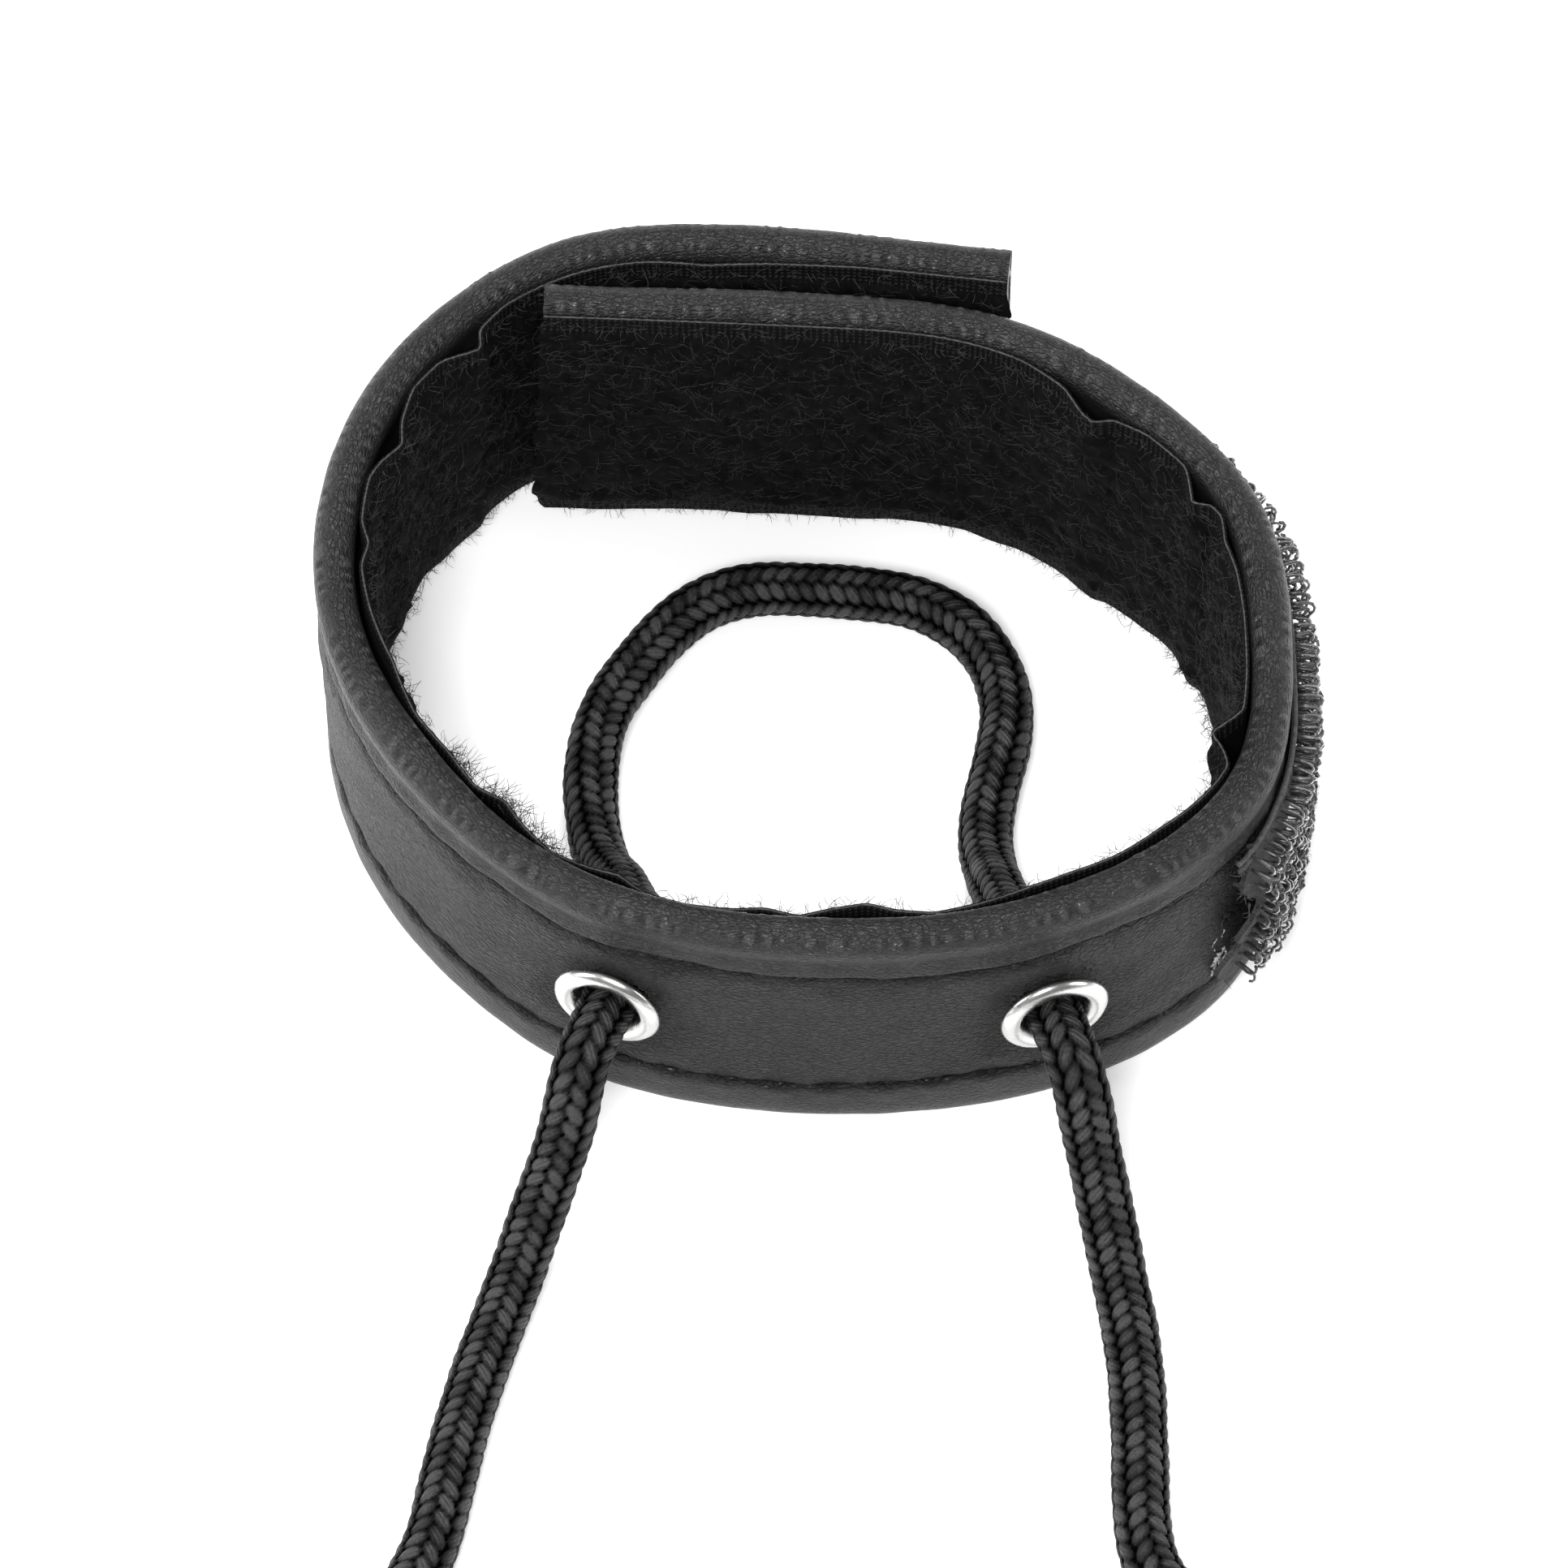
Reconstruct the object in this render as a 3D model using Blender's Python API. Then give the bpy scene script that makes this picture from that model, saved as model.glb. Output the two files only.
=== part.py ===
"""Padded wrist or ankle cuff that closes with hook-and-loop tape, with a cord through two eyelets.

The cuff is one long strip, bent round and standing on its lower edge.  It is described by the
line that runs along the middle of its thickness, seen from above, from the end of the inner tail,
round the right side, the front and the left side, to the end of the outer flap.  A place on the
strip is (distance along the line from the middle of the front, offset out of the cuff, height).
Distances grow towards the outer flap, so the right side and the inner tail have negative ones.

Units are metres, +Z is up, the eyelets face -Y, and the origin is under the middle of the cuff.
"""
import math

import bmesh
import bpy
import numpy as np
from mathutils import Vector

# ---------------------------------------------------------------- driving dimensions
CLEARANCE = 0.0003          # between pieces that touch

CUFF_HEIGHT = 0.032         # the strip's width, which stands upright
HALF_WIDTH = 0.0416         # from the origin to the middle line, left and right
HALF_DEPTH = 0.0364         # from the origin to the middle line, front and back

COVER_THICKNESS = 0.0009    # leather
ROLL_RADIUS = 0.0018        # the padded rolls along the two edges
SEAM_BELOW_ROLL = 0.0020    # between a roll and its seam
FOAM_FRONT = 0.00085        # from the middle line to the panel's inside
FOAM_AT_SEAM = 0.0002       # the foam is squeezed thin along a seam
LIP_TUCK = 0.0003           # the leather turned in under the lining stands back from the rolls
LIP_PAST_SEAM = 0.0024      # the turned leather's ends are past the seams

LINING_EDGE_MARGIN = 0.001  # the loop tape ends just short of the strip's edges
LINING_THICKNESS = 0.0009
HOOK_TAPE_THICKNESS = 0.0017
HOOK_TAPE_START = 0.038     # from the middle of the front
HOOK_TAPE_END_MARGIN = 0.006

OVERLAP_SPARE = 0.0013      # looseness between the hooks and the loops
TAIL_LIFT = 0.0035          # the tail's end was pressed on a little high
TAIL_END_SHARE = -0.575     # the tail's end, as a share of HALF_WIDTH

FRONT_HALF_LENGTH = 0.036   # the stiff front, to its fold on each side
LEFT_FOLD_TO_FLAP = 0.044   # the left side, from fold to fold
RIGHT_FOLD_TO_TAIL = 0.040  # the right side, from fold to fold

EYELET_SPACING = 0.038      # between the two eyelets, along the strip
EYELET_ROUND_CORD = 0.0004  # looseness of the cord in the eyelet's bore
EYELET_FLANGE_WIDTH = 0.0021
EYELET_FLANGE_HEIGHT = 0.0011
EYELET_MOUTH_FLARE = 0.0003
EYELET_WALL = 0.0004
POINTS_IN_EYELET = 3          # of a cord's route, at the end that starts in an eyelet
WASHER_CLEARANCE = 0.0007   # the wall is curved, the washer is flat
WASHER_THICKNESS = 0.0005

CORD_DIAMETER = 0.005
COIL_TURN_RADIUS = 0.0285   # the outer turn's middle
COIL_TURN_GAP = 0.0002      # between one turn and the next
COIL_TURNS = 2
COIL_BACK_Y = -0.0925       # the coils' edges nearest to the cuff
KNOT_RADIUS_SHARE = 1.04    # of the cord's diameter
KNOT_LENGTH_SHARE = 2.2
KNOT_ANGLE = math.radians(35)   # below the line across the two coils, on the outer side

THREAD_DIAMETER = 0.0007

STATION_SPACING = 0.0055    # between cross-sections of the strip
ROUND_SIDES = 20

# ---------------------------------------------------------------- sizes that follow
SEAM_INSET = 2 * ROLL_RADIUS + SEAM_BELOW_ROLL
SEAM_HEIGHTS = {"top": CUFF_HEIGHT - SEAM_INSET, "bottom": SEAM_INSET}
MID_HEIGHT = CUFF_HEIGHT / 2
LIP_REACH = SEAM_INSET + LIP_PAST_SEAM
LIP_OFFSET = ROLL_RADIUS - LIP_TUCK
PANEL_OFFSET = FOAM_FRONT + COVER_THICKNESS
SEAM_OFFSET = 2 * (COVER_THICKNESS + CLEARANCE) - LIP_OFFSET + FOAM_AT_SEAM
LINING_BACK = ROLL_RADIUS + CLEARANCE
LINING_FACE = LINING_BACK + LINING_THICKNESS
LINING_WIDTH = CUFF_HEIGHT - 2 * LINING_EDGE_MARGIN
HOOK_TAPE_WIDTH = CUFF_HEIGHT - 2 * (SEAM_INSET + THREAD_DIAMETER / 2 + CLEARANCE)
HOOK_BACK = PANEL_OFFSET + CLEARANCE
HOOK_FACE = HOOK_BACK + HOOK_TAPE_THICKNESS
OVERLAP_PITCH = HOOK_FACE + LINING_FACE + OVERLAP_SPARE
LEFT_FOLD = FRONT_HALF_LENGTH
FLAP_FOLD = LEFT_FOLD + LEFT_FOLD_TO_FLAP
RIGHT_FOLD = -FRONT_HALF_LENGTH
TAIL_FOLD = RIGHT_FOLD - RIGHT_FOLD_TO_TAIL
TAIL_LINE = HALF_DEPTH - OVERLAP_PITCH
EYELET_BORE_RADIUS = CORD_DIAMETER / 2 + EYELET_ROUND_CORD
EYELET_MOUTH_RADIUS = EYELET_BORE_RADIUS + EYELET_MOUTH_FLARE
EYELET_FLANGE_RADIUS = EYELET_BORE_RADIUS + EYELET_FLANGE_WIDTH
WASHER_FACE = LINING_FACE + WASHER_CLEARANCE
EYELET_ROLLED_END = WASHER_FACE + WASHER_THICKNESS + CLEARANCE
COIL_PITCH = CORD_DIAMETER + COIL_TURN_GAP
COIL_OUTSIDE = COIL_TURN_RADIUS + CORD_DIAMETER / 2
COIL_CENTRE_X = COIL_OUTSIDE + CLEARANCE
COIL_CENTRE_Y = COIL_BACK_Y - COIL_OUTSIDE
KNOT_RADIUS = KNOT_RADIUS_SHARE * CORD_DIAMETER
KNOT_LENGTH = KNOT_LENGTH_SHARE * CORD_DIAMETER


# ---------------------------------------------------------------- the strip's line
def smooth_line(points):
    """Cubic through points, as (distances, points, second derivatives by distance)."""
    points = np.array(points, float)
    at = np.concatenate(([0.0], np.cumsum(np.linalg.norm(np.diff(points, axis=0), axis=1))))
    steps = np.diff(at)
    slopes = np.diff(points, axis=0) / steps[:, None]
    system = np.eye(len(at))
    right = np.zeros_like(points)
    for i in range(1, len(at) - 1):
        system[i, i - 1] = steps[i - 1]
        system[i, i] = 2 * (steps[i - 1] + steps[i])
        system[i, i + 1] = steps[i]
        right[i] = 6 * (slopes[i] - slopes[i - 1])
    return at, points, np.linalg.solve(system, right)


def along(line, distance):
    """The point and the direction at a distance along a smooth line."""
    at, points, bend = line
    i = int(np.clip(np.searchsorted(at, distance) - 1, 0, len(at) - 2))
    step = at[i + 1] - at[i]
    a = (at[i + 1] - distance) / step
    b = 1 - a
    curve = ((a**3 - a) * bend[i] + (b**3 - b) * bend[i + 1]) * step**2 / 6
    turn = ((1 - 3 * a**2) * bend[i] + (3 * b**2 - 1) * bend[i + 1]) * step / 6
    point = a * points[i] + b * points[i + 1] + curve
    direction = (points[i + 1] - points[i]) / step + turn
    return point, direction / np.linalg.norm(direction)


def strip_points():
    """Plan points of the strip's line, from the end of the inner tail to the end of the flap."""
    shares = (
        (0.71, 0.495), (0.904, 0.239), (0.969, -0.151), (0.909, -0.588), (0.579, -0.896),
        (0.038, -1.0), (-0.502, -0.868), (-0.82, -0.544), (-1.005, -0.113), (-0.993, 0.354),
        (-0.802, 0.75), (-0.48, 0.985), (-0.062, 1.0), (0.433, 0.929),
    )
    tail = [
        (TAIL_END_SHARE * HALF_WIDTH, TAIL_LINE - 0.0002),
        (0.015 * HALF_WIDTH, TAIL_LINE - 0.0006),
        (0.447 * HALF_WIDTH, TAIL_LINE - 0.0032),
    ]
    return tail + [(x * HALF_WIDTH, y * HALF_DEPTH) for x, y in shares]


STRIP = smooth_line(strip_points())
FRONT_POINT = 8             # the strip point that is the middle of the front
FRONT_AT = STRIP[0][FRONT_POINT]
OUT_OF_LINE = -1            # the strip's outside is on the left of its direction
TAIL_END = -FRONT_AT
FLAP_END = STRIP[0][-1] - FRONT_AT


def lift(distance):
    """How far the strip's lower edge is off the floor: the tail's end sits a little high."""
    past = (TAIL_FOLD - distance) / (TAIL_FOLD - TAIL_END)
    return TAIL_LIFT * float(np.clip(past, 0, 1))


def on_strip(distance, offset, height):
    """World place of a point given in the strip's own measures."""
    point, direction = along(STRIP, distance + FRONT_AT)
    outward = np.array([OUT_OF_LINE * direction[1], -OUT_OF_LINE * direction[0]])
    place = point + outward * offset
    return Vector((place[0], place[1], height + lift(distance)))


def outward_at(distance):
    """Unit vector out of the cuff at a distance along the strip."""
    return (on_strip(distance, 0.001, 0) - on_strip(distance, 0, 0)).normalized()


# ---------------------------------------------------------------- scene and materials
def clear_scene():
    for item in list(bpy.data.objects):
        bpy.data.objects.remove(item, do_unlink=True)


def material(name, colour, roughness, metallic=0.0):
    made = bpy.data.materials.new(name)
    made.use_nodes = True
    shader = made.node_tree.nodes["Principled BSDF"]
    shader.inputs["Base Color"].default_value = (*colour, 1)
    shader.inputs["Roughness"].default_value = roughness
    shader.inputs["Metallic"].default_value = metallic
    made.diffuse_color = (*colour, 1)
    return made


def finish(name, data, finish_material, smooth=True):
    """Puts a mesh or curve in the scene as one named sub-part."""
    data.materials.append(finish_material)
    made = bpy.data.objects.new(name, data)
    bpy.context.scene.collection.objects.link(made)
    if smooth and isinstance(data, bpy.types.Mesh):
        data.shade_smooth()
        data.set_sharp_from_angle(angle=math.radians(40))
    return made


# ---------------------------------------------------------------- sweeping along the strip
def stations(start, end):
    count = max(2, math.ceil(abs(end - start) / STATION_SPACING) + 1)
    return np.linspace(start, end, count)


def sweep(name, profile, start, end, closed):
    """A cross-section of (offset, height) points, extruded step by step along the strip."""
    shape = bmesh.new()
    order = shape.verts.layers.int.new("profile point")
    steps = stations(start, end)
    corners = []
    for i, (offset, height) in enumerate(profile):
        corner = shape.verts.new(on_strip(steps[0], offset, height))
        corner[order] = i
        corners.append(corner)
    if closed:
        front = [shape.faces.new(corners)]
    else:
        front = [shape.edges.new(pair) for pair in zip(corners, corners[1:])]
    for distance in steps[1:]:
        if closed:
            grown = bmesh.ops.extrude_face_region(shape, geom=front)["geom"]
            if distance != steps[1]:
                bmesh.ops.delete(shape, geom=front, context="FACES_ONLY")
            front = [item for item in grown if isinstance(item, bmesh.types.BMFace)]
        else:
            grown = bmesh.ops.extrude_edge_only(shape, edges=front)["geom"]
            front = [item for item in grown if isinstance(item, bmesh.types.BMEdge)]
        moved = [item for item in grown if isinstance(item, bmesh.types.BMVert)]
        for corner in moved:
            offset, height = profile[corner[order]]
            corner.co = on_strip(distance, offset, height)
        if not closed:
            front = [item for item in front if all(v in moved for v in item.verts)]
    bmesh.ops.recalc_face_normals(shape, faces=shape.faces)
    mesh = bpy.data.meshes.new(name)
    shape.to_mesh(mesh)
    shape.free()
    return mesh


def mirrored_over_middle(profile):
    """Adds the lower half of a cross-section to its upper half."""
    return profile + [(offset, CUFF_HEIGHT - height) for offset, height in reversed(profile)]


def cover_profile():
    """The leather's outside: turned-in lip, top roll, seam, panel, seam, bottom roll, lip."""
    roll_height = CUFF_HEIGHT - ROLL_RADIUS
    upper = [
        (-LIP_OFFSET, CUFF_HEIGHT - LIP_REACH),
        (-LIP_OFFSET, CUFF_HEIGHT - 2 * ROLL_RADIUS),
    ]
    for angle in (190, 150, 110, 70, 30, -15):
        turn = math.radians(angle)
        upper.append((ROLL_RADIUS * math.cos(turn), roll_height + ROLL_RADIUS * math.sin(turn)))
    upper.append((SEAM_OFFSET, CUFF_HEIGHT - SEAM_INSET))
    upper.append((PANEL_OFFSET, CUFF_HEIGHT - SEAM_INSET - 2 * COVER_THICKNESS))
    return mirrored_over_middle(upper)


def foam_profile():
    """The core: full in the middle, squeezed at the seams, thin in the rolls."""
    inner_roll = ROLL_RADIUS - COVER_THICKNESS - CLEARANCE
    roll_height = CUFF_HEIGHT - ROLL_RADIUS
    front_face = FOAM_FRONT - CLEARANCE
    squeezed = SEAM_OFFSET - COVER_THICKNESS - CLEARANCE
    behind_lip = LIP_OFFSET - COVER_THICKNESS - CLEARANCE
    upper = [
        (-LIP_OFFSET, CUFF_HEIGHT - LIP_REACH - 2 * CLEARANCE),
        (-behind_lip, CUFF_HEIGHT - LIP_REACH),
        (-behind_lip, CUFF_HEIGHT - SEAM_INSET),
        (-inner_roll * 0.8, roll_height - inner_roll * 0.6),
        (-inner_roll * 0.6, roll_height + inner_roll * 0.7),
        (inner_roll * 0.6, roll_height + inner_roll * 0.7),
        (inner_roll * 0.8, roll_height - inner_roll * 0.6),
        (squeezed, CUFF_HEIGHT - SEAM_INSET + 2 * CLEARANCE),
        (squeezed, CUFF_HEIGHT - SEAM_INSET - 2 * CLEARANCE),
        (front_face, CUFF_HEIGHT - SEAM_INSET - 2 * COVER_THICKNESS - 2 * CLEARANCE),
    ]
    return mirrored_over_middle(upper)


def tape_profile(width, inner, outer):
    half = width / 2
    return [
        (inner, MID_HEIGHT - half), (inner, MID_HEIGHT + half),
        (outer, MID_HEIGHT + half), (outer, MID_HEIGHT - half),
    ]


# ---------------------------------------------------------------- layers of the strip
def make_cover(link, start, end, leather):
    name = f"{link}_cover"
    mesh = sweep(name, cover_profile(), start, end, closed=False)
    cover = finish(name, mesh, leather)
    middle = on_strip((start + end) / 2, 0, MID_HEIGHT)
    panel = min(mesh.polygons, key=lambda f: (f.center - middle).length)
    if panel.normal.dot(outward_at((start + end) / 2)) < 0:
        mesh.flip_normals()
    skin = cover.modifiers.new("leather thickness", "SOLIDIFY")
    skin.thickness = COVER_THICKNESS
    skin.offset = -1
    skin.use_even_offset = True
    return cover


def make_foam(link, start, end, foam):
    name = f"{link}_foam"
    return finish(name, sweep(name, foam_profile(), start, end, closed=True), foam)


def make_lining(link, start, end, loop_tape):
    name = f"{link}_lining"
    profile = tape_profile(LINING_WIDTH, -LINING_BACK, -LINING_FACE)
    return finish(name, sweep(name, profile, start, end, closed=True), loop_tape)


def make_hook_tape(link, start, end, hooks):
    name = f"{link}_hook_tape"
    profile = tape_profile(HOOK_TAPE_WIDTH, HOOK_BACK, HOOK_FACE)
    return finish(name, sweep(name, profile, start, end, closed=True), hooks)


def make_threads(link, start, end, thread):
    """The sewing thread of each seam, as one bar that lies in the seam's groove."""
    low = SEAM_OFFSET + CLEARANCE
    high = low + THREAD_DIAMETER
    for edge, height in SEAM_HEIGHTS.items():
        name = f"{link}_{edge}_thread"
        under = height - THREAD_DIAMETER / 2
        over = height + THREAD_DIAMETER / 2
        profile = [(low, under), (low, over), (high, over), (high, under)]
        finish(name, sweep(name, profile, start, end, closed=True), thread, smooth=False)


# ---------------------------------------------------------------- eyelets
def turned(name, profile, centre, axis, metal):
    """A closed (radius, distance along the axis) outline, spun round the axis."""
    shape = bmesh.new()
    corners = [shape.verts.new((radius, 0, rise)) for radius, rise in profile]
    edges = [shape.edges.new((a, b)) for a, b in zip(corners, corners[1:] + corners[:1])]
    bmesh.ops.spin(
        shape, geom=corners + edges, cent=(0, 0, 0), axis=(0, 0, 1),
        angle=math.tau, steps=ROUND_SIDES, use_merge=True,
    )
    bmesh.ops.remove_doubles(shape, verts=shape.verts, dist=1e-7)
    bmesh.ops.recalc_face_normals(shape, faces=shape.faces)
    mesh = bpy.data.meshes.new(name)
    shape.to_mesh(mesh)
    shape.free()
    made = finish(name, mesh, metal)
    made.location = centre
    made.rotation_euler = Vector(axis).to_track_quat("Z", "Y").to_euler()
    return made


def eyelet_profile():
    """Round-topped flange in front, barrel through the wall, end rolled over behind."""
    outer = EYELET_BORE_RADIUS + EYELET_WALL
    seat = CLEARANCE
    back = -(PANEL_OFFSET + EYELET_ROLLED_END)
    return [
        (EYELET_BORE_RADIUS, back - EYELET_WALL),
        (outer + 2 * EYELET_WALL, back - EYELET_WALL),
        (outer + 2 * EYELET_WALL, back),
        (outer, back),
        (outer, seat),
        (EYELET_FLANGE_RADIUS - EYELET_WALL, seat),
        (EYELET_FLANGE_RADIUS, seat + EYELET_FLANGE_HEIGHT * 0.3),
        (EYELET_FLANGE_RADIUS - EYELET_WALL, seat + EYELET_FLANGE_HEIGHT * 0.75),
        ((EYELET_FLANGE_RADIUS + EYELET_MOUTH_RADIUS) / 2, seat + EYELET_FLANGE_HEIGHT),
        (EYELET_MOUTH_RADIUS + EYELET_WALL / 2, seat + EYELET_FLANGE_HEIGHT * 0.8),
        (EYELET_MOUTH_RADIUS, seat + EYELET_FLANGE_HEIGHT * 0.4),
        (EYELET_BORE_RADIUS, seat),
    ]


def washer_profile():
    inner = EYELET_BORE_RADIUS + EYELET_WALL + CLEARANCE
    face = -(PANEL_OFFSET + WASHER_FACE)
    return [
        (inner, face - WASHER_THICKNESS), (EYELET_FLANGE_RADIUS, face - WASHER_THICKNESS),
        (EYELET_FLANGE_RADIUS, face), (inner, face),
    ]


def make_eyelet(side, distance, metal):
    centre = on_strip(distance, PANEL_OFFSET, MID_HEIGHT)
    axis = outward_at(distance)
    turned(f"eyelet_{side}", eyelet_profile(), centre, axis, metal)
    turned(f"eyelet_washer_{side}", washer_profile(), centre, axis, metal)


def hole_cutter(side, distance):
    """The punch for one eyelet's hole through the cover, the foam and the lining."""
    shape = bmesh.new()
    radius = EYELET_BORE_RADIUS + EYELET_WALL + CLEARANCE
    bmesh.ops.create_cone(
        shape, cap_ends=True, segments=ROUND_SIDES, radius1=radius, radius2=radius,
        depth=6 * (PANEL_OFFSET + LINING_FACE),
    )
    mesh = bpy.data.meshes.new(f"punch_{side}")
    shape.to_mesh(mesh)
    shape.free()
    cutter = bpy.data.objects.new(f"punch_{side}", mesh)
    bpy.context.scene.collection.objects.link(cutter)
    cutter.location = on_strip(distance, 0, MID_HEIGHT)
    cutter.rotation_euler = outward_at(distance).to_track_quat("Z", "Y").to_euler()
    cutter.hide_render = True
    cutter.display_type = "WIRE"
    return cutter


def punch(piece, cutters):
    for cutter in cutters:
        cut = piece.modifiers.new("eyelet hole", "BOOLEAN")
        cut.operation = "DIFFERENCE"
        cut.solver = "EXACT"
        cut.object = cutter


# ---------------------------------------------------------------- cord
def cord_tube(name, route, cord, far_end_in_eyelet=False):
    """A round tube along a smooth curve through the route's points, straight in an eyelet."""
    line = smooth_line(route)
    first = line[0][POINTS_IN_EYELET - 1]
    last = line[0][-POINTS_IN_EYELET if far_end_in_eyelet else -1]
    count = max(2, round((last - first) / CORD_DIAMETER) + 1)
    stations = [0, *np.linspace(first, last, count)]
    if far_end_in_eyelet:
        stations.append(line[0][-1])
    data = bpy.data.curves.new(name, "CURVE")
    data.dimensions = "3D"
    spline = data.splines.new("POLY")
    spline.points.add(len(stations) - 1)
    for point, distance in zip(spline.points, stations):
        point.co = (*along(line, distance)[0], 1)
    data.bevel_depth = CORD_DIAMETER / 2
    data.bevel_resolution = 3
    data.use_fill_caps = True
    return finish(name, data, cord)


def through_eyelet(distance, steps):
    """Places on the eyelet's axis, by how far they stand out of the strip's middle line."""
    return [tuple(on_strip(distance, step, MID_HEIGHT)) for step in steps]


def inner_loop_route():
    """From the left eyelet, down to the floor inside the cuff, round and back to the right."""
    rest = CORD_DIAMETER / 2
    barrel_end = -EYELET_ROLLED_END - EYELET_WALL
    steps = (-CLEARANCE / 2, barrel_end + 0.0009, barrel_end - 0.0013)
    left = through_eyelet(EYELET_SPACING / 2, steps)
    right = through_eyelet(-EYELET_SPACING / 2, steps[::-1])
    floor = [
        (-0.0157, -0.0243, 0.0128), (-0.0169, -0.0198, 0.0092), (-0.0188, -0.0146, 0.0046),
        (-0.0201, -0.0085, rest),
        (-0.0203, -0.0020, rest), (-0.0190, 0.0040, rest), (-0.0160, 0.0092, rest),
        (-0.0122, 0.0140, rest), (-0.0070, 0.0170, rest), (-0.0015, 0.0174, rest),
        (0.0045, 0.0169, rest), (0.0100, 0.0157, rest), (0.0146, 0.0125, rest),
        (0.0172, 0.0080, rest), (0.0179, 0.0025, rest), (0.0168, -0.0035, rest),
        (0.0158, -0.0095, rest), (0.0162, -0.0150, 0.0046), (0.0168, -0.0200, 0.0092),
        (0.0177, -0.0246, 0.0128),
    ]
    return left + floor + right


def tail_route(side):
    """Out of an eyelet, down to the floor in front, and round to the start of its coil."""
    rest = CORD_DIAMETER / 2
    if side == "left":
        start = through_eyelet(EYELET_SPACING / 2, (CLEARANCE / 2, 0.0045, 0.0075))
        floor = [
            (-0.0216, -0.0453, 0.0122), (-0.0240, -0.0505, 0.0070), (-0.0263, -0.0560, 0.0034),
            (-0.0284, -0.0620, rest), (-0.0304, -0.0690, rest), (-0.0320, -0.0765, rest),
            (-0.0334, -0.0825, rest), beside_coil(side, 99, 0.0023), beside_coil(side, 110, 0.0009),
        ]
    else:
        start = through_eyelet(-EYELET_SPACING / 2, (CLEARANCE / 2, 0.0045, 0.0075))
        floor = [
            (0.0241, -0.0455, 0.0122), (0.0256, -0.0505, 0.0070), (0.0269, -0.0560, 0.0034),
            (0.0279, -0.0620, rest), (0.0283, -0.0690, rest), (0.0283, -0.0760, rest),
            (0.0285, -0.0810, rest), beside_coil(side, 92, 0.0045), beside_coil(side, 87, 0.0014),
            beside_coil(side, 78, 0.0001),
        ]
    return start + floor + [beside_coil(side, 122 if side == "left" else 62, 0)]


def beside_coil(side, degrees, away):
    """A place at a bearing from the coil's middle, this far out of the lane beside its turns."""
    angle = math.radians(degrees)
    sign = -1 if side == "left" else 1
    reach = COIL_TURN_RADIUS + CORD_DIAMETER + CLEARANCE + away
    x = sign * COIL_CENTRE_X + reach * math.cos(angle)
    y = COIL_CENTRE_Y + reach * math.sin(angle)
    return (x, y, CORD_DIAMETER / 2)


def make_coil(side, cord):
    """The outer shape of a flat round coil: a ring of the cord's height."""
    outer = COIL_OUTSIDE
    inner = COIL_TURN_RADIUS - COIL_TURNS * COIL_PITCH - CORD_DIAMETER / 2
    edge = CORD_DIAMETER / 4
    profile = [
        (inner, edge), (inner + edge, 0), (outer - edge, 0), (outer, edge),
        (outer, CORD_DIAMETER - edge), (outer - edge, CORD_DIAMETER),
        (inner + edge, CORD_DIAMETER), (inner, CORD_DIAMETER - edge),
    ]
    sign = -1 if side == "left" else 1
    centre = (sign * COIL_CENTRE_X, COIL_CENTRE_Y, 0)
    return turned(f"cord_{side}_coil", profile, centre, (0, 0, 1), cord)


def make_knot(side, cord):
    """The stopper knot in the cord's end, lying inside the coil."""
    shape = bmesh.new()
    bmesh.ops.create_uvsphere(shape, u_segments=12, v_segments=8, radius=KNOT_RADIUS)
    bmesh.ops.scale(shape, vec=(1, KNOT_LENGTH / (2 * KNOT_RADIUS), 1), verts=shape.verts)
    name = f"cord_{side}_knot"
    mesh = bpy.data.meshes.new(name)
    shape.to_mesh(mesh)
    shape.free()
    made = finish(name, mesh, cord)
    hollow = COIL_TURN_RADIUS - COIL_TURNS * COIL_PITCH - CORD_DIAMETER / 2
    reach = hollow - KNOT_RADIUS - 2 * CLEARANCE
    sign = -1 if side == "left" else 1
    x = sign * (COIL_CENTRE_X + reach * math.cos(KNOT_ANGLE))
    y = COIL_CENTRE_Y - reach * math.sin(KNOT_ANGLE)
    made.location = (x, y, KNOT_RADIUS)
    made.rotation_euler = (0, 0, -sign * KNOT_ANGLE)
    return made


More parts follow.
